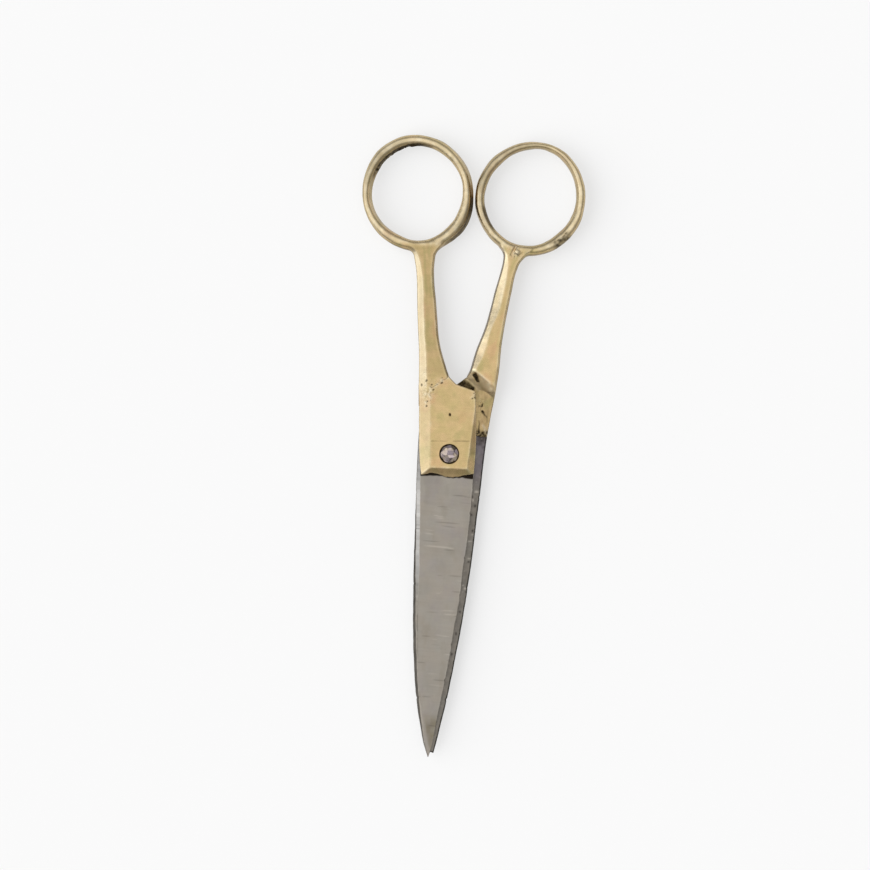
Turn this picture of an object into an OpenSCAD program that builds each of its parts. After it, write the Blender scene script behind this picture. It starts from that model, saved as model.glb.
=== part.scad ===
// Plain-edged hand-made sewing scissors: two forged steel blades, each with its
// tang cast into a brass handle, held together by one steel rivet.
// The part lies closed on the flat of its back bolster.
// The origin is on the pivot axis, in the plane that the part rests on.
// +Y runs towards the finger rings, -Y towards the points, and +Z is up,
// towards the front half. All lengths are in millimetres.

/* [Blades] */
// Distance from the pivot to the point of the front blade
front_reach = 93.4; // [88:0.2:98]
// Distance from the pivot to the point of the back blade
back_reach = 92.2; // [87:0.2:97]
// Sideways place of the front blade's point
front_point_x = 0.6; // [0:0.1:1.2]
// Sideways place of the back blade's point
back_point_x = 1.7; // [0.8:0.1:2]
// Width of a blade from the pivot to its cutting edge, at the pivot
edge_side = 9.9; // [9.4:0.1:10.2]
// Width of a blade from the pivot to its spine, at the pivot
spine_side = 7.8; // [7:0.1:8]
// Thickness of a blade at the bolster
blade_root_t = 1.97; // [1.7:0.01:2.2]
// Thickness of a blade at its point
blade_tip_t = 1.1; // [0.9:0.05:1.4]
// Width of the ground bevel along the cutting edge
bevel_w = 1.4; // [1:0.1:2]
// Thickness left at the cutting edge
edge_t = 0.25; // [0.15:0.05:0.4]
// Length of the tang that is cast into the brass
tang_len = 10; // [7:0.5:11]

/* [Pivot] */
// Height of the lap plane, where the two halves meet
lap_z = 4; // [4:0.1:4.2]
// Half of the gap between the two halves
lap_gap = 0.03; // [0.02:0.01:0.05]
// Diameter of the rivet's shank
rivet_d = 4; // [3.6:0.1:4.2]
// Running clearance all round the shank in the front half
rivet_play = 0.05; // [0.03:0.01:0.08]
// Diameter of the rivet's front head
head_d = 5.6; // [5.2:0.1:5.8]
// Diameter of the recess around the front head
recess_d = 6.1; // [6:0.1:6.6]
// Depth of the recess around the front head
recess_depth = 0.8; // [0.6:0.1:1]

/* [Handles] */
// Height of a bolster's flat outside face, from the lap plane
bolster_h = 4; // [4:0.1:4.2]
// Slope of the wide chamfer on the outer side of a bolster, in degrees
side_slope = 26; // [20:1:32]
// Slope of the chamfer on the inner side of a bolster, in degrees
inner_slope = 34; // [28:1:38]
// Slope of the chamfer at the blade end of a bolster, in degrees
end_slope = 32; // [26:1:36]
// Thickness of a shank where it leaves the bolster
shank_t = 6.8; // [6.2:0.1:7.2]
// Thickness of a shank where it meets the ring
shank_end_t = 4.8; // [4.4:0.1:5.2]

/* [Finger rings] */
// Radius of a ring at the middle of its band
ring_r = 15.65; // [15.4:0.05:15.8]
// Width of a ring's band, seen from above
ring_w = 2.9; // [2.6:0.1:3]
// Depth of a ring's band
ring_depth = 4.4; // [4:0.1:5]
// Lean of the front ring to one side, in degrees
front_ring_lean = 5; // [0:0.5:6]
// Lean of the back ring to one side, in degrees
back_ring_lean = 2; // [0:0.5:4]

/* [Hidden] */
$fn = 96;

steel = [0.60, 0.58, 0.56];
dark_steel = [0.52, 0.50, 0.52];
brass = [0.80, 0.68, 0.42];

// The back half is the front half turned over about this line.
turn_x = 0.5;
inner_z = lap_z + lap_gap;              // inside face of the front half
top_z = lap_z + bolster_h;              // outside face of the front bolster
steel_z = inner_z + blade_root_t;       // outside face of the front blade's root
brass_end = 6;                          // the brass stops here on the inside face
front_ring = [-16, 79.3];               // centre of the front ring
back_ring = [-17.6, 80.5];              // centre of the back ring, turned over
back_tip = 2*turn_x - back_point_x;     // point of the back blade, turned over

// Outline of a blade, for s from 0 at the pivot to 1 at the point.
function edge_x(s, tip) = s <= 0 ? -edge_side + s :
    tip - (tip + edge_side)*(1 - 0.62*pow(s, 1.5) - 0.38*pow(s, 9));
function spine_x(s, tip) = s <= 0 ? spine_side :
    tip + (spine_side - tip)*(1 - 0.92*pow(s, 2) - 0.08*pow(s, 12));
function blade_t(s) = s <= 0.08 ? blade_root_t :
    blade_root_t + (blade_tip_t - blade_root_t)*(s - 0.08)/0.92;

// Cross-section of a blade: flat inside face, ground bevel on the outside of the
// cutting edge, and a small flat along the spine.
function blade_section(s, reach, tip) =
    let (e = edge_x(s, tip), p = spine_x(s, tip), t = blade_t(s), w = p - e,
         b = min(bevel_w, 0.4*w), c = min(0.35, 0.15*w), y = -s*reach)
    [[e, y, inner_z], [p, y, inner_z], [p, y, inner_z + t - c],
     [p - c, y, inner_z + t], [e + b, y, inner_z + t], [e, y, inner_z + edge_t]];

// Skin over m rings of n points each, which follow each other along +Y.
function skin(n, m) = concat(
    [[for (i = [n - 1:-1:0]) i]],
    [for (j = [0:m - 2], i = [0:n - 1]) [j*n + i, j*n + (i + 1) % n, (j + 1)*n + i]],
    [for (j = [0:m - 2], i = [0:n - 1]) [j*n + (i + 1) % n, (j + 1)*n + (i + 1) % n, (j + 1)*n + i]],
    [[for (i = [0:n - 1]) (m - 1)*n + i]]);

module blade(reach, tip) {
    steps = concat([0.992, 0.98], [for (i = [24:-1:1]) i/25], [0, -brass_end/reach]);
    rings = [for (s = steps) blade_section(s, reach, tip)];
    polyhedron([for (r = rings) each r], skin(6, len(steps)));
    tang();
}

// The tang narrows away from the blade and is covered by brass all round.
module tang() {
    translate([0, 0, inner_z + 0.8])
        linear_extrude(blade_root_t - 0.8)
            polygon([[-5, brass_end - 2], [4, brass_end - 2], [2.5, brass_end + tang_len],
                     [-4.5, brass_end + tang_len]]);
}

// Sides of a shank at distances along it: left side, right side, half thickness.
// It flares where it runs into the ring's band.
shank_rows = [18, 20.5, 23.8, 26, 29, 32, 36, 41, 46, 51, 55, 58, 60, 61.4, 62.8, 64.2];
function left_x(y) = lookup(y, [[14, -10.5], [22, -11.1], [30, -11.8], [38, -12.7], [46, -13.6],
    [54, -14.4], [58, -15.2], [60, -16], [61.4, -17.4], [62.8, -19.2], [64.2, -19.6]]);
function right_x(y) = lookup(y, [[18, -2], [20.5, -1.4], [23.8, -2.2], [26, -3], [29, -4.2],
    [32, -5.2], [36, -6.1], [41, -6.9], [46, -7.7], [51, -8.6], [55, -9.1], [58, -9.3],
    [60, -9.2], [61.4, -8.8], [62.8, -8.2], [64.2, -7.4]]);
function half_t(y) = lookup(y, [[18, shank_t/2], [30, shank_t/2], [60, shank_end_t/2],
    [62.8, 0.46*ring_depth], [64.2, 0.36*ring_depth]]);

// Eight-sided section with a wide facet on the outer side. The end of the shank
// is carried along by move, so that it meets its ring.
function shank_section(y, move) =
    let (k = max(0, y - 30)/34, l = left_x(y) + move[0]*k, r = right_x(y) + move[0]*k, h = half_t(y),
         a = min(1.9, 0.3*(r - l)), b = min(0.7, 0.12*(r - l)), c = 0.55*a, d = 0.9*b, v = y + move[1]*k)
    [[l + a, v, lap_z - h], [r - b, v, lap_z - h], [r, v, lap_z - h + d], [r, v, lap_z + h - d],
     [r - b, v, lap_z + h], [l + a, v, lap_z + h], [l, v, lap_z + h - c], [l, v, lap_z - h + c]];

module shank(move) {
    rings = [for (y = shank_rows) shank_section(y, move)];
    polyhedron([for (r = rings) each r], skin(8, len(shank_rows)));
}

// Everything in front of a sloping plane that starts at point p on the outside
// face, runs along direction a, and falls away outwards.
module slope_cut(p, a, slope) {
    translate([p[0], p[1], top_z]) rotate([0, 0, a]) rotate([-slope, 0, 0])
        translate([-60, 0, 0]) cube([120, 40, 20]);
}

// Flat plate of the bolster, with a peaked upper end and three sloping sides.
module bolster() {
    difference() {
        translate([0, 0, inner_z]) linear_extrude(top_z - inner_z)
            polygon([[-10.6, 16], [-9.4, 0], [-8.2, -7], [7.8, -6.4], [7.8, 5], [7.2, 12],
                     [6.5, 19.8], [1.6, 21.1], [0.3, 21.5], [-2.2, 23.6], [-7, 19.6], [-10.9, 19]]);
        slope_cut([-7, 15.2], 94.6, side_slope);
        slope_cut([6.4, 9.3], 267, inner_slope);
        slope_cut([0, -4.3], 182.2, end_slope);
    }
}

// The band's section is an oval.
module finger_ring(c, lean) {
    translate([c[0], c[1], lap_z]) rotate([lean*0.7, lean, 0])
        rotate_extrude($fn = 96)
            polygon([for (i = [0:19]) [ring_r + ring_w/2*cos(18*i), ring_depth/2*sin(18*i)]]);
}

// Room under the shank's lower half for the other half's lap, with a ramp.
module lap_room() {
    intersection() {
        translate([-60, -60, -20]) cube([120, 140, 20 + inner_z]);
        translate([-5.6, 21.6, inner_z]) rotate([0, 0, 36]) rotate([40, 0, 0])
            translate([-60, -80, -40]) cube([120, 80, 80]);
    }
}

module half_handle(c, lean) {
    difference() {
        union() {
            bolster();
            difference() {
                shank([(c[0] - front_ring[0])*0.6, c[1] - front_ring[1]]);
                lap_room();
            }
            finger_ring(c, lean);
        }
        // seat of the blade and its tang
        translate([-40, -40, -1]) cube([80, 40 + brass_end, 1 + steel_z]);
        tang();
    }
}

module turned_over() {
    translate([2*turn_x, 0, 2*lap_z]) rotate([0, 180, 0]) children();
}

module front_blade() {
    color(steel) difference() {
        blade(front_reach, front_point_x);
        cylinder(d = rivet_d + 2*rivet_play, h = 20, center = true);
    }
}

module back_blade() {
    color(dark_steel) difference() {
        turned_over() blade(back_reach, back_tip);
        cylinder(d = rivet_d, h = 20, center = true);
    }
}

module front_handle() {
    color(brass) difference() {
        half_handle(front_ring, front_ring_lean);
        cylinder(d = rivet_d + 2*rivet_play, h = 40, center = true);
        translate([0, 0, top_z - recess_depth]) cylinder(d = recess_d, h = 5);
    }
}

module back_handle() {
    color(brass) difference() {
        turned_over() half_handle(back_ring, back_ring_lean);
        cylinder(d = rivet_d, h = 40, center = true);
        // countersink of the hammered tail
        cylinder(d1 = rivet_d + 2, d2 = rivet_d, h = 1);
    }
}

// Shank with a low domed front head and a tail hammered into the countersink.
module pivot_rivet() {
    r = rivet_d/2;
    under = top_z - recess_depth + 0.05;
    color(steel) rotate_extrude() polygon(concat(
        [[0, 0.1], [r + 0.9, 0.1], [r, 1], [r, under], [head_d/2, under], [head_d/2, top_z - 0.25]],
        [for (i = [1:6]) [head_d/2*cos(15*i), top_z - 0.25 + 0.5*sin(15*i)]]));
}

front_blade();
back_blade();
front_handle();
back_handle();
pivot_rivet();
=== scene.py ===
import math

import bpy
import numpy as np
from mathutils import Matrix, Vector


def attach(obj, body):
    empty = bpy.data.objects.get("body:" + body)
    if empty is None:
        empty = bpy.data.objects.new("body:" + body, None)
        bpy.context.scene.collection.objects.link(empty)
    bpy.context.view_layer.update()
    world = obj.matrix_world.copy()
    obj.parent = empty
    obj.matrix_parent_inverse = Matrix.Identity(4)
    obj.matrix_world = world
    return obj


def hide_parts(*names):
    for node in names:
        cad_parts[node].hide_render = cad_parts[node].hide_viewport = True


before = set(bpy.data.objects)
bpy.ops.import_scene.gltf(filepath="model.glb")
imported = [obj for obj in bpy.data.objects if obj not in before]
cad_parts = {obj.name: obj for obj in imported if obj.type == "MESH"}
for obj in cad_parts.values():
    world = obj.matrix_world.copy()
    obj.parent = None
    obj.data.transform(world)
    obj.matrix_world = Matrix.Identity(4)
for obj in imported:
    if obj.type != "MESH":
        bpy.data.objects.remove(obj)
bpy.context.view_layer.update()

# Lengths below are in millimetres, in the CAD frame: pivot axis at x = y = 0,
# rings towards +Y, points towards -Y, rest plane at z = 0.
MM = 0.001
TURN_X = 0.5      # the back half is the front half turned over about x = 0.5, z = 4
LAP_Z = 4.0
GAP = 0.03
STEEL_Z = 6.0     # outside face of the blade's root, in the front half


# ---------------------------------------------------------------- small maths
def smax(a, b, k):
    h = np.clip(0.5 + 0.5 * (a - b) / k, 0.0, 1.0)
    return b + (a - b) * h + k * h * (1.0 - h)


def smin(a, b, k):
    return -smax(-a, -b, k)


def smooth(e0, e1, v):
    t = np.clip((v - e0) / (e1 - e0), 0.0, 1.0)
    return t * t * (3.0 - 2.0 * t)


def curve(pts):
    """Smooth curve through (position, value) points, positions in any order."""
    xs, ys = np.array(sorted(pts), float).T
    m = np.gradient(ys, xs)
    t = np.linspace(xs[0], xs[-1], 4000)
    i = np.clip(np.searchsorted(xs, t, side="right") - 1, 0, len(xs) - 2)
    h = xs[i + 1] - xs[i]
    u = (t - xs[i]) / h
    v = ((2 * u**3 - 3 * u**2 + 1) * ys[i] + (u**3 - 2 * u**2 + u) * h * m[i]
         + (-2 * u**3 + 3 * u**2) * ys[i + 1] + (u**3 - u**2) * h * m[i + 1])
    return lambda q: np.interp(q, t, v)


def around(pts):
    """Smooth periodic curve through (angle in degrees, value) points."""
    p = sorted(pts)
    return curve([(a - 360, v) for a, v in p] + p + [(a + 360, v) for a, v in p])


def hash3(ix, iy, iz, seed):
    h = (ix * 374761393 + iy * 668265263 + iz * 2147483647 + seed * 1274126177) & 0xFFFFFFFF
    h = ((h ^ (h >> 13)) * 1274126177) & 0xFFFFFFFF
    h = ((h ^ (h >> 16)) * 2246822519) & 0xFFFFFFFF
    return ((h ^ (h >> 15)) & 0xFFFFFF).astype(np.float64) / float(0xFFFFFF)


def noise(p, scale, seed=0):
    """Smooth value noise from -1 to 1. scale is the size of a bump, one number or one per axis."""
    q = p / np.asarray(scale, float)
    i = np.floor(q).astype(np.int64)
    f = q - i
    f = f * f * f * (f * (f * 6 - 15) + 10)
    out = np.zeros(len(p))
    for dx in (0, 1):
        wx = f[:, 0] if dx else 1 - f[:, 0]
        for dy in (0, 1):
            wy = f[:, 1] if dy else 1 - f[:, 1]
            for dz in (0, 1):
                wz = f[:, 2] if dz else 1 - f[:, 2]
                out += wx * wy * wz * hash3(i[:, 0] + dx, i[:, 1] + dy, i[:, 2] + dz, seed)
    return out * 2 - 1


def fbm(p, scale, seed=0, octaves=3):
    s, a, out, tot = np.asarray(scale, float), 1.0, 0.0, 0.0
    for o in range(octaves):
        out = out + a * noise(p, s, seed + 17 * o)
        tot += a
        s, a = s / 2.03, a * 0.55
    return out / tot


def polygon_distance(x, y, pts):
    pts = np.asarray(pts, float)
    d = np.full(x.shape, 1e18)
    inside = np.zeros(x.shape, bool)
    n = len(pts)
    for i in range(n):
        a, b = pts[i], pts[i - 1]
        e = b - a
        wx, wy = x - a[0], y - a[1]
        t = np.clip((wx * e[0] + wy * e[1]) / (e @ e), 0, 1)
        d = np.minimum(d, (wx - e[0] * t) ** 2 + (wy - e[1] * t) ** 2)
        cross = ((a[1] > y) != (b[1] > y)) & (x < a[0] + e[0] * (y - a[1]) / (e[1] if e[1] else 1e-12))
        inside ^= cross
    return np.where(inside, -1, 1) * np.sqrt(d)


def segment_distance(x, y, a, b):
    e = np.array([b[0] - a[0], b[1] - a[1]], float)
    t = np.clip(((x - a[0]) * e[0] + (y - a[1]) * e[1]) / max(e @ e, 1e-9), 0, 1)
    return np.hypot(x - a[0] - e[0] * t, y - a[1] - e[1] * t), t


# ------------------------------------------------- surface from a distance field
def axis_steps(spans):
    """Grid positions from (start, end, step) spans that follow each other."""
    out = []
    for a, b, h in spans:
        n = max(1, int(round((b - a) / h)))
        out.extend(np.linspace(a, b, n, endpoint=False))
    return np.array(out + [spans[-1][1]])


def gradient(f, p, h=0.03):
    g = np.empty_like(p)
    for k in range(3):
        e = np.zeros(3)
        e[k] = h
        g[:, k] = (f(p + e) - f(p - e)) / (2 * h)
    return g


def extract(f, xs, ys, zs, block=6):
    """Closed quad mesh of f = 0 on the grid, with its points moved onto the surface."""
    nx, ny, nz = len(xs), len(ys), len(zs)
    vol = np.empty((nx, ny, nz), np.float32)
    live = np.zeros((nx, ny, nz), bool)
    bi = [np.arange(0, n - 1, block) for n in (nx, ny, nz)]
    lo = np.stack(np.meshgrid(*bi, indexing="ij"), -1).reshape(-1, 3)
    hi = np.minimum(lo + block, np.array([nx, ny, nz]) - 1)
    a = np.c_[xs[lo[:, 0]], ys[lo[:, 1]], zs[lo[:, 2]]]
    b = np.c_[xs[hi[:, 0]], ys[hi[:, 1]], zs[hi[:, 2]]]
    mid = f((a + b) / 2)
    reach = np.linalg.norm(b - a, axis=1) / 2 * 1.5 + 0.3
    for k in range(len(lo)):
        sl = tuple(slice(lo[k, d], hi[k, d] + 1) for d in range(3))
        if abs(mid[k]) < reach[k]:
            live[sl] = True
        else:
            vol[sl] = np.where(live[sl], vol[sl], mid[k])
    idx = np.argwhere(live)
    for s in range(0, len(idx), 400000):
        q = idx[s:s + 400000]
        vol[q[:, 0], q[:, 1], q[:, 2]] = f(np.c_[xs[q[:, 0]], ys[q[:, 1]], zs[q[:, 2]]])
    neg = vol < 0
    corner = [neg[dx:nx - 1 + dx, dy:ny - 1 + dy, dz:nz - 1 + dz] for dx in (0, 1) for dy in (0, 1) for dz in (0, 1)]
    count = sum(c.astype(np.int8) for c in corner)
    cells = np.argwhere((count > 0) & (count < 8))
    number = -np.ones((nx - 1, ny - 1, nz - 1), np.int64)
    number[cells[:, 0], cells[:, 1], cells[:, 2]] = np.arange(len(cells))
    pos = np.zeros((len(cells), 3))
    hits = np.zeros(len(cells))
    steps = (xs, ys, zs)
    for ax in range(3):
        o = [d for d in range(3) if d != ax]
        for u in (0, 1):
            for v in (0, 1):
                c0 = cells.copy()
                c0[:, o[0]] += u
                c0[:, o[1]] += v
                c1 = c0.copy()
                c1[:, ax] += 1
                v0 = vol[c0[:, 0], c0[:, 1], c0[:, 2]].astype(float)
                v1 = vol[c1[:, 0], c1[:, 1], c1[:, 2]].astype(float)
                m = (v0 < 0) != (v1 < 0)
                t = np.where(m, v0 / np.where(m, v0 - v1, 1), 0)
                p = np.stack([steps[d][c0[:, d]] for d in range(3)], -1)
                p[:, ax] += t * (steps[ax][c1[:, ax]] - steps[ax][c0[:, ax]])
                pos[m] += p[m]
                hits[m] += 1
    pos /= hits[:, None]
    quads = []
    for ax in range(3):
        o = [(ax + 1) % 3, (ax + 2) % 3]
        sl0 = [slice(1, -1)] * 3
        sl1 = [slice(1, -1)] * 3
        sl0[ax], sl1[ax] = slice(0, -1), slice(1, None)
        s0, s1 = neg[tuple(sl0)], neg[tuple(sl1)]
        for flip in (False, True):
            e = np.argwhere((s0 & ~s1) if not flip else (~s0 & s1))
            if not len(e):
                continue
            g = e + 1
            g[:, ax] -= 1
            ring = []
            for du, dv in ((-1, -1), (0, -1), (0, 0), (-1, 0)):
                c = g.copy()
                c[:, o[0]] += du
                c[:, o[1]] += dv
                ring.append(number[c[:, 0], c[:, 1], c[:, 2]])
            q = np.stack(ring, -1)
            quads.append(q if not flip else q[:, ::-1])
    quads = np.concatenate(quads)
    cell = np.stack([np.diff(steps[d])[cells[:, d]] for d in range(3)], -1).min(1)
    for _ in range(4):
        g = gradient(f, pos)
        n2 = np.maximum((g * g).sum(1), 1e-6)
        d = f(pos) / n2
        move = g * d[:, None]
        length = np.linalg.norm(move, axis=1)
        lim = 0.6 * cell
        move *= np.minimum(1, lim / np.maximum(length, 1e-9))[:, None]
        pos -= move
    g = gradient(f, pos)
    nrm = g / np.maximum(np.linalg.norm(g, axis=1), 1e-9)[:, None]
    return pos, quads, nrm


def to_object(name, verts_mm, faces, smooth_shade=True):
    me = bpy.data.meshes.new(name)
    v = np.asarray(verts_mm, np.float32) * MM
    if isinstance(faces, np.ndarray):
        n, k = faces.shape
        me.vertices.add(len(v))
        me.vertices.foreach_set("co", v.ravel())
        me.loops.add(n * k)
        me.loops.foreach_set("vertex_index", faces.astype(np.int32).ravel())
        me.polygons.add(n)
        me.polygons.foreach_set("loop_start", np.arange(0, n * k, k, dtype=np.int32))
        me.update(calc_edges=True)
    else:
        me.from_pydata([tuple(p) for p in v], [], faces)
        me.update()
    me.validate()
    if smooth_shade:
        me.polygons.foreach_set("use_smooth", np.ones(len(me.polygons), bool))
    ob = bpy.data.objects.new(name, me)
    bpy.context.scene.collection.objects.link(ob)
    return ob


def set_attribute(ob, name, values):
    at = ob.data.attributes.new(name, "FLOAT", "POINT")
    at.data.foreach_set("value", np.asarray(values, np.float32))


def points_of(ob):
    co = np.zeros(len(ob.data.vertices) * 3, np.float32)
    ob.data.vertices.foreach_get("co", co)
    return co.reshape(-1, 3).astype(float) / MM


def set_points(ob, p):
    ob.data.vertices.foreach_set("co", (np.asarray(p, np.float32) * MM).ravel())
    ob.data.update()


def turned(p):
    """A point of the front half's frame, turned over into the back half."""
    q = p.copy()
    q[:, 0] = 2 * TURN_X - p[:, 0]
    q[:, 2] = 2 * LAP_Z - p[:, 2]
    return q


# ------------------------------------------------------------------- the handles
BOLSTER = [(-10.9, 20.6), (-10.55, 15), (-9.95, 7), (-9.4, 0.4), (-8.75, -4.5), (-8.15, -7.1), (-6.6, -6.65),
           (-5.0, -6.3), (-3.2, -6.4), (-2.2, -6.75), (-1.2, -7.1), (0.5, -7.2), (2.4, -7.05), (3.4, -6.85),
           (4.6, -6.4), (6.0, -5.95), (7.9, -5.6),
           (7.95, 0), (7.8, 4.8), (7.25, 12.1), (6.75, 17.5), (6.4, 19.8), (1.6, 21.1), (0.3, 21.5),
           (-2.1, 23.6), (-4.6, 21.6), (-7, 19.7)]
BOLSTER_BACK = [(-11.6, 20.6), (-11.0, 15), (-10.2, 7)] + BOLSTER[3:]


def turned_outline(poly):
    return [(2 * TURN_X - a, b) for a, b in poly]


FRONT = dict(
    left=curve([(12, -10.4), (15.7, -10.78), (21.8, -11.15), (31, -11.85), (37.1, -12.6), (46.3, -13.6),
                (52.4, -14.15), (55.4, -14.6), (58.4, -15.3), (60.2, -15.8), (62, -17), (64, -19)]),
    right=curve([(12, -2), (18, -1.6), (22, -1.7), (23.8, -2.1), (25.6, -2.85), (28.5, -3.95), (31.5, -5.05),
                 (34.5, -5.9), (40.6, -6.9), (46.7, -7.85), (51.3, -8.65), (55.8, -9.15), (58.9, -9.15),
                 (60.8, -9.0), (62.3, -8.2), (64, -6.8)]),
    top=curve([(12, 6.7), (15, 6.95), (17.5, 7.4), (20, 7.8), (22.5, 7.84), (26, 7.64), (32, 7.3), (40, 6.95), (52, 6.55), (60, 6.3), (64, 6.1)]),
    bottom=curve([(12, 0.7), (22, 0.65), (28, 0.7), (40, 1.05), (52, 1.45), (60, 1.7), (64, 1.9)]),
    upper_left=curve([(12, 2.6), (26, 2.3), (36, 2.0), (46, 2.0), (55, 1.8), (60, 1.4), (64, 0.8)]),
    lower_right=curve([(12, 1.6), (30, 1.8), (45, 1.6), (58, 1.4), (64, 1.0)]),
    upper_slope=0.60, lower_slope=0.45,
    centre=(-16.0, 79.3, 4.0),
    r_in=around([(0, 14.0), (30, 14.1), (60, 14.05), (90, 14.35), (110, 14.45), (140, 14.1), (165, 14.15), (195, 14.4),
                 (225, 14.3), (250, 14.1), (272, 14.75), (288, 14.75), (305, 14.4), (330, 14.1)]),
    r_out=around([(0, 17.0), (20, 16.95), (45, 17.05), (75, 17.55), (105, 17.75), (135, 17.6), (165, 16.95), (190, 16.85),
                  (220, 17.25), (250, 17.75), (280, 18.1), (305, 18.1), (330, 17.95), (350, 17.25)]),
    deep=around([(0, 2.35), (90, 2.15), (180, 2.2), (270, 2.3)]),
    shift=(-0.8, 0.2), seed=100,
    dots=((-8.7, 21.8, 0.32), (-10.1, 20.4, 0.24), (-6.4, 19.5, 0.30), (-8.1, 15.5, 0.28), (-8.0, 14.1, 0.28), (-7.1, 20.8, 0.22),
          (-5.5, 20.9, 0.22), (-4.1, 21.5, 0.26), (-3.9, 23.3, 0.24), (5.6, 17.5, 0.22), (6.5, 17.9, 0.30), (6.1, 18.9, 0.22)),
    glints=((-8.9, 17.8, 0.42), (-7.6, 17.4, 0.40), (-7.1, 16.9, 0.36), (-8.5, 15.0, 0.34), (-8.5, 14.0, 0.36), (-7.5, 18.9, 0.50),
            (-9.7, 23.8, 0.42), (-4.1, 22.3, 0.42), (-1.9, 23.4, 0.45), (5.9, 18.4, 0.36), (5.3, 17.9, 0.30)),
)
# the back half is drawn before it is turned over, so its lower side is the one that is seen
BACK = dict(
    left=curve([(12, -10.7), (16, -11.15), (20.6, -11.7), (26.8, -12.2), (33, -12.3), (39.2, -12.7), (45.4, -13.4),
                (51.6, -14.2), (57.8, -15.2), (60.3, -16.1), (62, -17.4), (64.5, -19.5)]),
    right=curve([(12, -2), (18, -1.6), (22, -1.8), (23.6, -2.25), (26.1, -3.25), (29.2, -3.95), (32.4, -4.65),
                 (35.5, -5.6), (38.7, -6.6), (45, -7.95), (51.2, -9.0), (55, -9.8), (57.5, -10.3), (60.5, -10.7),
                 (62.5, -10.6), (64.5, -9.4)]),
    top=curve([(12, 7.3), (22, 7.35), (28, 7.3), (40, 6.95), (52, 6.55), (60, 6.3), (65, 6.1)]),
    bottom=curve([(12, 1.55), (22, 1.5), (26, 1.42), (32, 1.28), (40, 1.22), (52, 1.5), (60, 1.7), (65, 1.9)]),
    upper_left=curve([(12, 1.9), (30, 1.8), (46, 1.6), (60, 1.3), (65, 0.8)]),
    lower_right=curve([(12, 1.6), (24, 1.6), (27, 1.9), (31, 2.8), (38.7, 2.2), (46.4, 3.0), (54, 2.7), (60, 1.8), (65, 1)]),
    upper_slope=0.5, lower_slope=0.48,
    centre=(-17.6, 80.5, 4.0),
    r_in=around([(180, 14.1), (135, 14.85), (105, 15.3), (75, 14.45), (45, 13.65), (15, 13.8), (345, 14.2),
                 (315, 14.5), (288, 14.95), (255, 14.6), (225, 13.8), (195, 13.95)]),
    r_out=around([(180, 16.95), (150, 17.2), (120, 17.5), (90, 17.15), (60, 16.85), (30, 16.8), (0, 17.0),
                  (330, 17.2), (300, 17.75), (270, 17.95), (240, 17.7), (210, 17.3)]),
    deep=around([(0, 2.2), (90, 2.0), (180, 2.2), (270, 2.3)]),
    shift=(0.1, -0.15), seed=300,
    dots=((8.8, 15.5, 0.34), (9.1, 13.5, 0.5), (15.0, 62.6, 0.34)),
    glints=((10.1, 22.0, 0.6), (10.9, 20.6, 0.5), (16.2, 63.2, 0.5), (8.6, 7.4, 0.3), (9.5, 6.8, 0.3), (10.0, 7.6, 0.25)),
)


def falling_plane(p0, p1, slope, top):
    """Height above a plane that holds the line p0-p1 at height top and falls to the left of its direction."""
    d = np.array([p1[0] - p0[0], p1[1] - p0[1]], float)
    d /= np.linalg.norm(d)
    n = np.array([-d[1], d[0]])
    s, c = math.sin(math.radians(slope)), math.cos(math.radians(slope))
    return lambda x, y, z: s * ((x - p0[0]) * n[0] + (y - p0[1]) * n[1]) + c * (z - top)


LEFT_CHAMFER = falling_plane((-5.43, -4.52), (-7.0, 15.1), 26, 8.0)
RIGHT_CHAMFER = falling_plane((6.95, 16.6), (5.74, -4.1), 34, 8.0)
END_CHAMFER = falling_plane((5.74, -4.12), (-5.43, -4.52), 31, 8.0)


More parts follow.
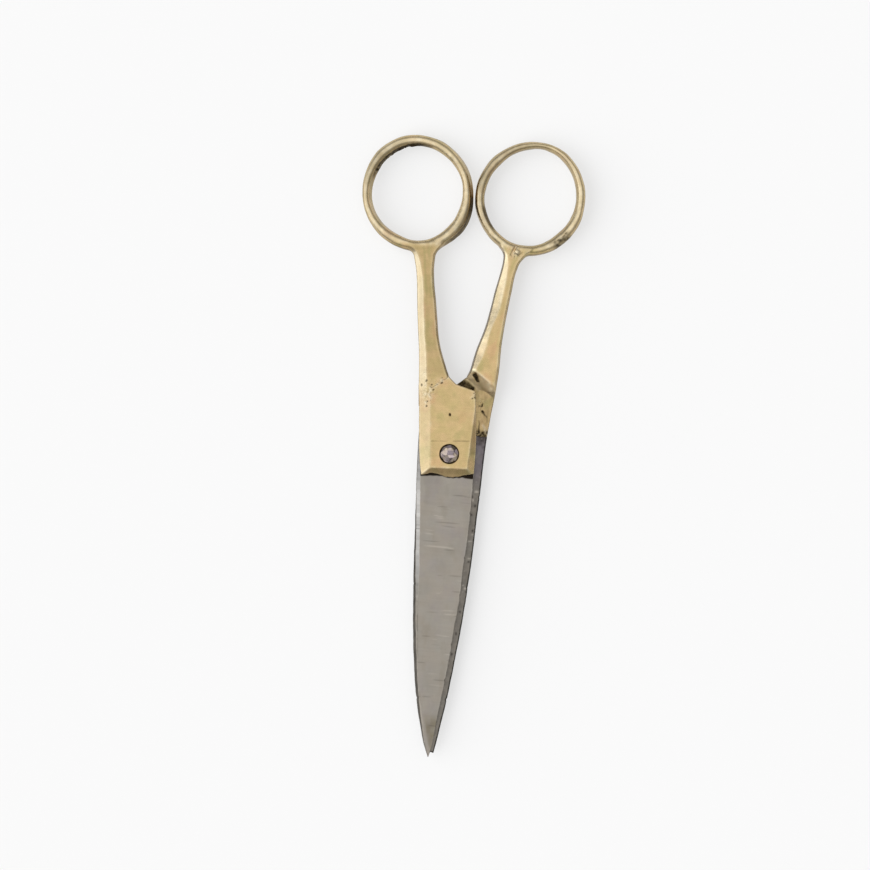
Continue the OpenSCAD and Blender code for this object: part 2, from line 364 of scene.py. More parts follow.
def half_handle(cfg, back):
    left, right, top, bottom = (cfg[k] for k in ("left", "right", "top", "bottom"))
    cx, cy, cz = cfg["centre"]
    su, sl = cfg["upper_slope"], cfg["lower_slope"]
    n2 = np.array([0.563, -0.826])     # from the ramp's ridge towards the pivot
    run, rise, start = (4.2, 2.71, 1.5) if back else (3.3, 2.3, 0.7)
    ln = math.hypot(run, rise)

    def field(p):
        x, y, z = p[:, 0], p[:, 1], p[:, 2]
        # shank: a flat bar with a wide filed facet on one side and a narrow one on the other
        l, r, zt, zb = left(y), right(y), top(y), bottom(y)
        a, b = cfg["upper_left"](y), cfg["lower_right"](y)
        tl = (-su * (x - l - a) + (z - zt)) / math.hypot(su, 1)
        br = (sl * (x - r + b) + (zb - z)) / math.hypot(sl, 1)
        tr = (0.9 * (x - r + 0.5) + 0.5 * (z - zt)) / 1.03
        bl = (-0.9 * (x - l - 0.5) + 0.5 * (zb - z)) / 1.03
        k = 0.26
        # the side that faces the other shank has some draft
        side = r - 0.5 + 0.5 * smooth(1.6, 6.4, z) if back else r
        s = smax(smax(l - x, x - side, k), smax(z - zt, zb - z, k), k)
        s = smax(smax(s, tl, 0.18), tr, k)
        s = smax(smax(s, bl, k), br, 0.18)
        s = np.maximum(s, 14.0 - y)
        s = smax(s, y - (64.0 if not back else 65.0), 0.8)
        # the shank's lower half starts behind a ramp
        u = (x + 5.45) * n2[0] + (y - 25.7) * n2[1]
        if back:
            # steeper at its ridge than at its foot
            fall = np.where(u < 0, 1.4 * u / run, 1 - np.clip(1 - u / run, 0, 1) ** 1.4)
            cut = (z - start - rise * fall - 0.5 * np.clip(u - run, 0, 9)) / 1.25
        else:
            cut = np.minimum((-u * rise + (z - start) * run) / ln, (run - 0.5 * np.clip(LAP_Z - z, 0, 2) - u) / 1.12)
        room = smax(cut, z - (LAP_Z + GAP), 0.3)
        s = smax(s, -room, 0.45)
        if back:
            # hollow left in the ramp by the casting
            ux, uy = x + 0.24 * noise(p, 0.9, 61), y + 0.24 * noise(p, 0.9, 62)
            d, t = segment_distance(ux, uy, (-4.75, 24.75), (-6.0, 22.8))
            pit = np.sqrt(d**2 + ((z - 2.3 - 0.5 * t) * 0.55) ** 2) - (0.70 - 0.26 * t)
            s = smax(s, -pit, 0.25)
        # finger ring, with the upper mould half a little off the lower one
        sh = np.tanh((z - cz) / 0.7) * 0.5
        qx = x - cx - cfg["shift"][0] * sh
        qy = y - cy - cfg["shift"][1] * sh
        rho = np.hypot(qx, qy)
        th = np.degrees(np.arctan2(qy, qx))
        ri, ro, dp = cfg["r_in"](th), cfg["r_out"](th), cfg["deep"](th)
        hw = (ro - ri) / 2
        v0, v1 = rho - (ri + ro) / 2, z - cz
        m = (np.abs(v0 / hw) ** 2.15 + np.abs(v1 / dp) ** 2.15) ** (1 / 2.15)
        ring = np.hypot(v0, v1) * (1 - 1 / np.maximum(m, 1e-3))
        ring = np.where(m < 0.05, -np.minimum(hw, dp), ring)
        s = smin(s, ring, 1.1)
        s = np.maximum(s, np.where(rho < ri + 1.0, ring - 0.25, -9.0))
        if back:
            # end of the ring's rod, closed against the shank
            knob = np.sqrt((x + 14.8) ** 2 + (y - 63.3) ** 2 + (z - 2.3) ** 2) - 1.0
            s = smin(s, knob, 0.5)
            d, t = segment_distance(x, y, (-13.1, 62.4), (-14.6, 65.6))
            s = smax(s, -(np.sqrt(d**2 + ((z - 1.45) * 0.8) ** 2) - 0.38), 0.25)
        # bolster
        w = polygon_distance(x, y, BOLSTER if not back else BOLSTER_BACK)
        w = w + 0.13 * smooth(-5.0, -6.2, y) * noise(np.c_[x, y * 0, z * 0], 0.8, 15)
        w = w + 0.16 * smooth(18, 19.5, y) * smooth(-1.0, -3.0, x) * noise(np.c_[x, y, z * 0], 1.0, 16)
        e = smax(w, z - 8.0, 0.34)
        e = smax(e, LEFT_CHAMFER(x, y, z), 0.16)
        e = smax(e, RIGHT_CHAMFER(x, y, z), 0.16)
        e = smax(e, END_CHAMFER(x, y, z), 0.16)
        e = smax(e, (LAP_Z + GAP) - z, 0.12)
        s = smin(s, e, 0.12 + 0.22 * smooth(0.0, -2.0, x) * smooth(14, 18, y))
        # seat of the blade, ragged where the metal ran over the steel
        q = np.c_[x, y * 0, z * 0]
        edge = 6.1 + 0.45 * noise(q, 1.3, 5) + 0.3 * noise(q, 0.5, 6)
        lip = STEEL_Z + 0.06 + 0.3 * smooth(-4.6, -6.0, y) * smooth(1.8, 3.2, np.abs(x - 0.8))
        s = smax(s, -smax(y - edge, z - lip, 0.1), 0.08)
        # pocket of the tang
        f = np.clip((y - 4.0) / 12.0, 0, 1)
        tang = np.maximum(np.maximum(-5.0 + 0.5 * f - x, x - 4.0 + 1.5 * f), np.abs(z - 5.415) - 0.6)
        s = np.maximum(s, -np.maximum(tang, y - 16.03))
        # bore, and the recess of the rivet's end
        if not back:
            rad = np.hypot(x, y)
            s = np.maximum(s, 2.05 - rad)
            rim = 3.0 + 0.10 * np.cos(np.arctan2(y, x) + 2.4)
            s = smax(s, -np.maximum(rad - rim, 7.2 - z), 0.14)
            # blow hole
            hx, hy = x + 0.8, y - 12.0
            hole = np.hypot(1.25 * (0.94 * hx + 0.34 * hy), 0.85 * (0.94 * hy - 0.34 * hx)) - 0.36 * smooth(6.9, 8.0, z)
            s = smax(s, -np.maximum(hole, 6.9 - z), 0.2)
        else:
            rad = np.hypot(x - 2 * TURN_X, y)
            s = np.maximum(s, 2.0 - rad)
            s = smax(s, 2.0 + np.clip(z - 7.0, 0, 2) - rad, 0.05)
        return s

    return field


def build_handle(cfg, back):
    f = half_handle(cfg, back)
    cx, cy = cfg["centre"][:2]
    xs = axis_steps([(cx - 19.5, -12.6, 0.28), (-12.6, 8.6, 0.186)])
    ys = axis_steps([(-8.2, 27.0, 0.18), (27.0, cy + 19.5, 0.28)])
    zs = axis_steps([(0.2, 8.6, 0.21)])
    p, q, n = extract(f, xs, ys, zs)
    # how enclosed each point is, for painted shade in hollows and corners
    hollow = np.zeros(len(p))
    for d in (0.25, 0.6, 1.2):
        hollow += np.clip(1 - f(p + n * d) / d, 0, 1.2) / 3
    # how sharply the surface bends outwards at each point, for the lighter edges: wear and a painted highlight
    bend, count = np.zeros(len(p)), np.zeros(len(p))
    for a, b in ((0, 1), (1, 2), (2, 3), (3, 0)):
        i, j = q[:, a], q[:, b]
        e = p[j] - p[i]
        k = ((n[j] - n[i]) * e).sum(1) / np.maximum((e * e).sum(1), 1e-4)
        for v in (i, j):
            bend += np.bincount(v, k, len(p))
            count += np.bincount(v, minlength=len(p))
    edge_wear_and_highlight = bend / np.maximum(count, 1)
    def calm(v, times):
        for _ in range(times):
            m = v[q].mean(1)
            tot = sum(np.bincount(q[:, k], m, len(p)) for k in range(4))
            v = tot / np.maximum(sum(np.bincount(q[:, k], minlength=len(p)) for k in range(4)), 1)
        return v

    w, nw = (turned(p), n * [-1, 1, -1]) if back else (p.copy(), n.copy())
    x, y, z = w.T
    up = nw[:, 2]
    sd = cfg["seed"]
    wc = turned(np.array([cfg["centre"]]))[0] if back else np.array(cfg["centre"])
    rho = np.hypot(x - wc[0], y - wc[1])
    ang = np.degrees(np.arctan2(y - wc[1], x - wc[0])) % 360
    ringy = smooth(wc[1] - 16.8, wc[1] - 15.0, y)
    # faces that the other half slides on, the bores and the blade's seat stay plain
    plain = (np.abs(p[:, 2] - LAP_Z - GAP) < 0.07) & (n[:, 2] < -0.8)
    inner = (p[:, 1] < 16.3) & (p[:, 2] < 6.5) & (np.abs(n[:, 2]) > 0.9)
    axis = np.hypot(x, y) < 3.5
    free = np.where(plain | inner | axis, 0.0, 1.0)
    flat = smooth(0.93, 0.99, np.abs(up)) * (1 - ringy)
    d = (0.045 * fbm(w, 3.2, sd) * (1 - 0.6 * flat) + 0.016 * fbm(w, 0.8, sd + 5, 2) * (1 - 0.5 * flat) * (1 - 0.5 * ringy)
         + ringy * (0.09 * noise(w, (4.4, 4.4, 5.0), sd + 9) + 0.02 * noise(w, 1.3, sd + 11)))
    # filed flats along the ring
    d -= ringy * 0.09 * smooth(0.1, 0.7, noise(w, (5.2, 5.2, 3.0), sd + 21))
    # pits of the casting, with glints and light flecks as painted highlights
    def spot(cx_, cy_, rx, ry):
        return np.exp(-((x - cx_) / rx) ** 2 - ((y - cy_) / ry) ** 2)
    few = 0.16 + 0.12 * ringy
    if back:
        where = np.clip(few + 0.9 * spot(8.5, 15.4, 1.2, 2.0) + 0.8 * spot(9.6, 13.2, 0.9, 1.6)
                        + 0.8 * spot(15.7, 63.0, 2.2, 2.0), 0, 1)
    else:
        where = np.clip(few + 0.55 * spot(-8.1, 18.3, 2.2, 3.2) + 0.5 * spot(6.2, 18.0, 1.1, 1.5)
                        + 0.3 * spot(-9.3, 24.0, 1.4, 1.4) + 0.35 * spot(-4.5, 21.8, 2.0, 1.2), 0, 1)
    warp = w + 0.35 * np.stack([noise(w, 0.9, sd + 28), noise(w, 0.9, sd + 29), noise(w, 0.9, sd + 30)], -1)
    pit = smooth(0.68, 0.84, noise(warp, (0.46, 0.44, 0.5), sd + 31) * 0.55 + 0.50 * where)
    pit = np.maximum(pit, 0.8 * smooth(0.70, 0.84, noise(warp, (0.36, 0.40, 0.4), sd + 33) * 0.5 + 0.50 * where))
    pit *= np.where(inner | axis, 0, 1)
    rough = np.clip(where - few, 0, 1) * np.where(inner | axis | plain, 0, 1)
    d += 0.09 * rough * noise(warp, 0.7, sd + 35) - 0.15 * pit
    fleck = smooth(0.15, 0.6, noise(warp, (0.6, 0.7, 0.7), sd + 37)) * rough
    dots, glints = np.zeros(len(p)), np.zeros(len(p))
    ragged = 1 + 0.5 * noise(w, 0.45, sd + 27)
    for cx_, cy_, r_ in cfg["dots"]:
        dots = np.maximum(dots, np.exp(-(np.hypot(warp[:, 0] - cx_, warp[:, 1] - cy_) / (r_ * ragged)) ** 2))
    # glints: painted highlights on small raised spots
    for cx_, cy_, r_ in cfg["glints"]:
        glints = np.maximum(glints, np.exp(-(np.hypot(warp[:, 0] - cx_, 0.8 * (warp[:, 1] - cy_)) / r_) ** 2))
    dots, glints = smooth(0.30, 0.72, dots) * (up > 0.3), glints * (up > 0.3)
    glints *= 1 - dots
    d += 0.08 * glints - 0.22 * dots
    pit = np.maximum(pit, dots)
    fleck = np.maximum(fleck, glints)
    d *= free
    d = np.where(plain & (pit > 0), -0.2 * pit, d)
    grime_and_shade = np.zeros(len(p))
    if not back:
        # ragged flash on the inside of the ring, at the mould's joint
        arc = smooth(85, 105, ang) * smooth(175, 150, ang)
        seam = arc * (rho < 15.8) * np.exp(-((z - 4.3) / 0.7) ** 2)
        d += seam * (0.5 * smooth(-0.1, 0.5, noise(w, (0.8, 0.8, 1.6), 71)) + 0.2 * np.clip(noise(w, 0.45, 72), 0, 1))
        # painted shade on the ring: on the flash and inner walls at the upper left, and on the outer wall at the lower
        # right
        grime_and_shade += arc * (rho < 15.6) * smooth(0.7, 0.35, up) * (1.0 + 0.4 * noise(w, 0.7, 73))
        grime_and_shade += smooth(70, 84, ang) * smooth(112, 98, ang) * (rho < 15.4) * smooth(0.9, 0.6, up) * 0.8
        grime_and_shade += smooth(295, 312, ang) * smooth(372, 350, ang) * ringy * (rho > 15.7) * smooth(0.7, 0.35, up) * 0.8
        # fine file mark across the bolster, and a shallow step below it
        line = 3.9 + 0.075 * x
        top_face = (z > 7.7) & (up > 0.9) & (np.abs(x) < 6)
        cut = np.exp(-((y - line) / 0.13) ** 2) * smooth(-0.55, 0.15, noise(w, (1.6, 9, 9), 81))
        d -= top_face * (0.07 * cut + 0.025 * smooth(line + 0.1, line - 0.1, y)) * ~axis
        grime_and_shade += top_face * 0.5 * cut
        # the edges of the cast flow marks beside the bolster
        d += 0.10 * spot(-8.6, 21.5, 2.2, 2.0) * noise(w, 1.1, 85) * (up > 0.5)
    else:
        near, _ = segment_distance(x, y, (1.4, 21.4), (5.4, 20.4))
        beside, _ = segment_distance(x + 0.2 * noise(w, 0.8, 63), y, (4.4, 23.1), (7.4, 20.8))
        sill = smooth(1.05, 0.5, beside) * smooth(0.4, 0.7, up) * (z < 5.6)
        lap = plain & (up > 0.8)
        # painted shadow: near black in the gap beside the other half's bolster, less on the sill
        grime_and_shade += 0.9 * (z > 3.5) * smooth(4.32, 4.08, z) * smooth(0.2, 0.6, up) * smooth(3.4, 0.9, near + 0.5 * noise(w, 0.7, 96)) * smooth(6.8, 5.4, x + 0.5 * noise(w, 0.8, 94)) * (1 - sill)
        wx, wy = x + 0.2 * noise(w, 1.6, 87) + 0.10 * noise(w, 0.5, 88), y + 0.3 * noise(w, 1.4, 89)
        for a, b, wide, deep in (((8.45, 7.2), (8.3, 10.8), 0.36, 0.7), ((9.0, 13.6), (10.6, 12.2), 0.34, 0.85),
                                 ((8.3, 15.5), (8.7, 15.2), 0.4, 0.6)):
            near, t = segment_distance(wx, wy, a, b)
            g = smooth(wide * (1.2 - 0.5 * t), 0.02, near) * (1 - 0.4 * t)
            d -= lap * 0.09 * g
            grime_and_shade += lap * deep * g
        # cast surface left unfiled
        soft = smooth(0.22, 0.05, np.abs(z - LAP_Z + GAP)) * smooth(0.75, 0.95, up)
        d -= soft * 0.06 * (noise(w, (1.0, 2.4, 2.0), 90) + 1) * smooth(0.0, 1.2, polygon_distance(x, y, BOLSTER))
        grime_and_shade += soft * 0.24 * smooth(-0.3, 0.7, fbm(w, (0.9, 2.2, 2), 92))
        # scale where the brass meets the steel
        grime_and_shade += lap * smooth(8.8, 6.9, y + 0.8 * noise(w, 0.9, 91)) * np.clip(0.62 + 0.5 * noise(w, (0.5, 0.45, 0.5), 95), 0, 1)
        # painted shade on the ring: outer wall at the lower right, inner wall on the left
        grime_and_shade += smooth(293, 303, ang) * smooth(326, 316, ang) * ringy * (rho > 15.4) * (0.5 + 0.5 * noise(w, 0.8, 93))
        grime_and_shade += smooth(190, 200, ang) * smooth(232, 222, ang) * ringy * (rho < 15.2) * 0.7
        # painted shade inside the hollow in the ramp
        ux, uy = p[:, 0] + 0.24 * noise(p, 0.9, 61), p[:, 1] + 0.24 * noise(p, 0.9, 62)
        near, t = segment_distance(ux, uy, (-4.75, 24.75), (-6.0, 22.8))
        pocket = smooth(0.80 - 0.25 * t, 0.45 - 0.2 * t, near) * (p[:, 2] < 4.0)
        grime_and_shade += pocket
    p = p + n * d[:, None]
    p[:, 2] = np.clip(p[:, 2], -1.0, 8.0 if back else 9.0)
    # painted shade in hollows and corners
    hollow_shade = np.clip(hollow - 0.55, 0, 1) * 1.6
    # convex edges paler and lighter: partly wear, partly painted highlight
    edge_wear_and_highlight = smooth(0.15, 0.7, edge_wear_and_highlight + 0.18 * noise(w, 0.9, sd + 45)) * smooth(0.45, 0.75, np.abs(up)) * (1 - ringy)
    edge_wear_and_highlight = calm(edge_wear_and_highlight, 2) * (0.75 + 0.5 * noise(w, (1.4, 2.2, 1.4), sd + 46))
    if not back:
        edge_wear_and_highlight *= smooth(3.4, 4.0, np.hypot(x, y)) * smooth(0.9, 1.6, np.hypot(x + 0.8, y - 12.0))
    else:
        edge_wear_and_highlight *= smooth(0.9, 1.5, near)
    # painted highlight along the top of the ring
    crest_highlight = ringy * smooth(0.84, 0.97, np.abs(up)) * (0.75 + 0.35 * noise(w, 2.0, sd + 47))
    # painted shade on steep side walls, less on the rings
    wall_shade = smooth(0.72, 0.30, np.abs(up)) * np.where(inner, 0, 1) * (1 - 0.5 * ringy)
    if not back:
        step = np.maximum(smooth(0.9, 0.4, segment_distance(x, y, (-7.2, 19.6), (-2.3, 23.5))[0]),
                          smooth(-6.6, -7.4, x) * smooth(15, 17, y) * smooth(25, 23, y))
        wall_shade *= 1 - 0.9 * step * smooth(0.3, 0.6, up)
        hollow_shade *= 1 - 0.9 * step
    else:
        faces_pivot = n[:, 0] * 0.563 - n[:, 1] * 0.826
        foot = smooth(17, 19, y) * smooth(27, 25.5, y) * (z > 3.5) * (x > 3) * np.maximum(smooth(0.66, 0.80, faces_pivot), smooth(0.35, 0.6, up))
        wall_shade *= 1 - 0.92 * foot
        hollow_shade *= 1 - 0.92 * foot
    dark = np.clip(hollow_shade * 0.75 + 0.6 * pit + 0.15 * dots + grime_and_shade + 0.12 * noise(w, 0.9, sd + 41) * (0.4 + wall_shade), 0, 1)
    matte = np.zeros(len(p))
    # painted highlight: paler on upward faces turned to the left, less on the bolster
    pale = smooth(-0.18, -0.42, nw[:, 0]) * smooth(0.55, 0.75, up) * (1 - 0.5 * ringy)
    if not back:
        pale *= 0.45 + 0.55 * smooth(16, 23, y)
    if back:
        # painted highlights: the ramp paler, its lip, crown and the sill paler still
        ramp = (y > 20) & (y < 26.5) & (x > 3) & (z > 4.05) & (up > 0.4) & (up < 0.95)
        down = (p[:, 0] + 5.45) * 0.563 - (p[:, 1] - 25.7) * 0.826
        lip = ramp * np.maximum(smooth(2.3, 2.9, down) * smooth(8.2, 6.9, x), smooth(5.7, 4.7, x + 0.4 * noise(w, 0.9, 99)))
        lip = np.maximum(lip, sill)
        crown = ramp * smooth(1.5, 0.3, down) * smooth(11.2, 10.2, x)
        matte = calm(np.maximum(ramp, sill) * (1 - 0.55 * crown), 3)
        # painted shade on the side that faces the other shank
        dark = np.clip(dark + 0.45 * smooth(-0.75, -0.9, nw[:, 0]) * (1 - ringy) * smooth(23, 27, y), 0, 1)
        pale = np.maximum(pale, 0.30 * ramp + 0.6 * np.maximum(lip, crown))
        near, t = segment_distance(x + 0.2 * noise(w, 0.9, 97), y, (9.6, 9.5), (11.2, 6.8))
        streak = lap * smooth(0.55, 0.15, near)
        pale = np.maximum(pale, 0.8 * streak)
        # painted shade along the shank's right-hand edge
        rim_shade = smooth(1.4, 0.6, p[:, 0] - cfg["left"](y) + 0.25 * noise(w, 1.1, 98)) * smooth(16, 19, y) * smooth(28.5, 26, y) * (up > 0.3) * (1 - lap)
    nick = ringy * smooth(0.25, 0.6, noise(w, 0.9, sd + 48)) * smooth(0.7, 0.93, np.abs(up))
    pale = np.clip(pale * (0.8 + 0.22 * noise(w, (1.2, 6, 1.2), sd + 51)) + 0.8 * fleck + 0.8 * edge_wear_and_highlight + ringy * (0.35 + 0.45 * crest_highlight) + 0.4 * nick, 0, 1)
    tone = (1 + 0.11 * fbm(w, (2.4, 3.6, 2.4), sd + 61) * (0.6 + ringy) + 0.04 * noise(w, 0.9, sd + 67)
            + 0.2 * fleck + 0.30 * edge_wear_and_highlight + 0.36 * crest_highlight + 0.16 * nick)
    if not back:
        shade = smooth(100, 118, ang) * smooth(195, 172, ang) * ringy * smooth(17.3, 16.4, rho)
        shade = np.maximum(shade, 1.3 * smooth(308, 325, ang) * smooth(356, 344, ang) * ringy * smooth(15.1, 15.7, rho))
    else:
        shade = smooth(68, 86, ang) * smooth(222, 205, ang) * ringy * smooth(16.8, 16.0, rho)
    tone *= 1 - 0.26 * shade
    swing = np.hypot(x, y)
    covered = plain * smooth(0.0, -0.8, polygon_distance(x, y, BOLSTER if back else turned_outline(BOLSTER_BACK)))
    tone *= 1 + 0.09 * covered * noise(np.c_[swing, swing * 0, swing * 0 + 5.5], (0.55, 1, 1), sd + 66)
    if not back:
        tone *= 1 - 0.14 * smooth(22.5, 25, y) * (1 - ringy) * (1 - pale)
        # painted light and shade by facet: left chamfer darker, left-facing shank facets lighter, right chamfer lighter
        # low down, end chamfer darker
        on_left = smooth(-0.2, -0.36, nw[:, 0]) * (y < 19) * (up > 0.6)
        tone *= 1 + on_left * (0.07 * smooth(5, -2, y) - 0.09)
        tone *= 1 + 0.10 * smooth(-0.2, -0.4, nw[:, 0]) * (up > 0.5) * smooth(22, 25, y) * (1 - ringy)
        on_right = smooth(0.35, 0.5, nw[:, 0]) * (up > 0.6) * (y < 17)
        tone *= 1 + 0.28 * on_right * smooth(0.5, 0.0, y)
        on_end = smooth(-0.35, -0.48, nw[:, 1]) * (up > 0.6) * (y < -3)
        tone *= 1 - on_end * (0.17 - 0.2 * smooth(-5.4, -6.6, y) * np.exp(-((x - 1.5) / 4.5) ** 2))
        # painted shade: the rivet's recess made black
        deep_in = (z < 7.72) & (np.hypot(x, y) < 3.4) & (z > 6.4)
        dark = np.where(deep_in, 1.0, dark)
    else:
        # painted shadow on the low lap beside the bolster; painted highlights on the ramp and on left-facing shank
        # facets; painted shade on the right-hand edge
        tone *= 1 - 0.24 * smooth(5.0, 4.1, z) * smooth(25, 23, y) * smooth(0.6, 0.85, up)
        tone *= 1 + ramp * 0.28 * smooth(3.7, 1.2, down) + 0.36 * crown + 0.42 * lip + 0.25 * streak - 0.22 * rim_shade
        tone = np.where(ramp, np.minimum(tone, 1.58), tone)
        tone *= 1 + 0.30 * smooth(-0.2, -0.4, nw[:, 0]) * (up > 0.5) * smooth(25, 27, y) * (1 - ringy)
    # streaks along the shank, and patches round the ring
    bar = (1 - ringy) * smooth(23, 31, y)
    along = np.c_[p[:, 0] - (cfg["left"](y) + cfg["right"](y)) / 2, y, z]
    tone *= 1 + 0.05 * bar * noise(along, (0.6, 7, 0.9), sd + 79) + 0.09 * ringy * noise(w, (3.2, 3.2, 2.0), sd + 49)
    rust = fbm(w, (3.5, 5.5, 3.5), sd + 77) * 1.3 + 0.55 * bar * noise(along, (0.8, 9, 1.2), sd + 78) + 0.5 * ringy * noise(w, (3.0, 3.0, 2.0), sd + 50)
    if not back:
        rust = rust + on_left * (0.55 * np.exp(-((y - 13) / 3.0) ** 2) - 0.65 * smooth(4, 0, y))
    rust = np.clip(rust, -1, 1)
    ob = to_object(("back" if back else "front") + "_handle_brass", turned(p) if back else p, q)
    for name, v in (("dark", dark), ("wall_shade", calm(wall_shade, 2)), ("pale", calm(pale, 2)), ("tone", calm(tone, 2)),
                    ("rust", rust), ("rough", rough), ("matte", matte)):
        set_attribute(ob, name, v)
    return ob


# -------------------------------------------------------------------- the blades
FRONT_BLADE = dict(
    edge=curve([(6, -9.9), (4, -9.88), (0, -9.8), (-7.6, -9.56), (-11.9, -9.38), (-18, -9.05), (-24.2, -8.75), (-30.3, -8.52),
                (-38, -8.13), (-45.7, -7.63), (-54.8, -6.93), (-61, -6.33), (-65.5, -5.78), (-71.6, -4.99), (-76.2, -4.2),
                (-80.7, -3.25), (-84, -2.43), (-87.1, -1.6), (-90.1, -0.72), (-92.2, 0.1), (-93.4, 0.6)]),
    spine=curve([(6, 7.8), (0, 7.85), (-6.9, 7.93), (-13.6, 7.94), (-18.25, 7.93), (-22, 7.76), (-28.5, 7.44), (-35.3, 7.0),
                 (-41.4, 6.76), (-44.5, 6.6), (-50.7, 6.02), (-53.9, 5.66), (-60, 5.17), (-66.3, 4.52), (-72.5, 3.78),
                 (-78.7, 2.98), (-84.3, 2.36), (-87.1, 2.0), (-89.9, 1.6), (-91.8, 1.22), (-93.4, 0.82)]),
    bevel=curve([(6, 1.2), (-8, 1.27), (-18, 1.5), (-28.6, 1.7), (-37.9, 1.75), (-45.5, 1.5), (-52, 1.3), (-61, 1.35),
                 (-70, 1.1), (-75, 1.2), (-81, 1.1), (-87, 0.7), (-93.4, 0.1)]),
    facet=curve([(6, 0.05), (-15, 0.06), (-20, 0.2), (-30, 0.38), (-40, 0.55), (-52, 0.75), (-65, 0.8), (-80, 0.6), (-93.4, 0.05)]),
    end=-93.4, tip_thick=1.15, blunt=0.0, seed=500, bore=2.05,
)
BACK_BLADE = dict(
    edge=curve([(6, -10.12), (3.2, -9.92), (0, -9.76), (-6.35, -9.51), (-13.5, -9.25), (-19.6, -8.93), (-25.8, -8.72), (-32, -8.42), (-38.2, -8.0),
                (-44.4, -7.56), (-50.6, -7.05), (-56.8, -6.4), (-63, -5.67), (-69.2, -4.92), (-75.4, -4.12), (-81.7, -3.12),
                (-87.9, -2.05), (-91, -1.5), (-92.2, -1.25)]),
    spine=curve([(6, 7.8), (0, 7.85), (-18.25, 7.85), (-28.5, 7.3), (-41.4, 6.5), (-53.9, 5.3), (-66.3, 3.9),
                 (-78.7, 2.1), (-87.1, 0.8), (-90.5, 0.3), (-92.2, 0.05)]),
    bevel=curve([(6, 1.2), (-8, 1.3), (-30, 1.7), (-52, 1.4), (-75, 1.2), (-92.2, 0.5)]),
    facet=curve([(6, 0.05), (-15, 0.1), (-30, 0.4), (-52, 0.7), (-80, 0.5), (-92.2, 0.2)]),
    end=-92.2, tip_thick=1.1, blunt=1.0, seed=600, bore=2.0,
)


# chips and dark spots where the back blade shows: place, light or dark, size
CHIPS = ((-8.2, -11.0, 1, 0.7, 0.3), (-7.3, -13.6, 1, 0.3, 0.6), (-6.9, -12.7, -1, 0.3, 0.4), (-8.1, -15.4, -1, 0.35, 0.45), (-7.0, -18.2, -1, 0.4, 0.3),
              (-8.0, -23.1, -1, 0.35, 0.4), (-8.0, -24.3, 0.8, 0.3, 0.25), (-7.4, -26.4, 1, 0.6, 0.2), (-7.5, -31.7, 0.9, 0.6, 0.22), (-7.4, -32.7, -1, 0.4, 0.25),
              (-7.0, -41.0, 1, 0.4, 0.4), (-7.5, -42.0, -1, 0.28, 0.28), (-6.3, -40.1, 0.8, 0.22, 0.22), (-6.0, -48.2, -1, 0.35, 0.4), (-5.3, -55.0, -1, 0.3, 0.5),
              (-4.6, -61.5, -0.8, 0.3, 0.5), (-3.7, -64.4, 0.8, 0.3, 0.25), (-2.8, -71.8, 0.8, 0.25, 0.35), (-2.2, -74.6, -0.8, 0.25, 0.4))


def line_noise(y, size, seed):
    return noise(np.c_[y, y * 0 + 3.3, y * 0 + 7.7], (size, 1, 1), seed)


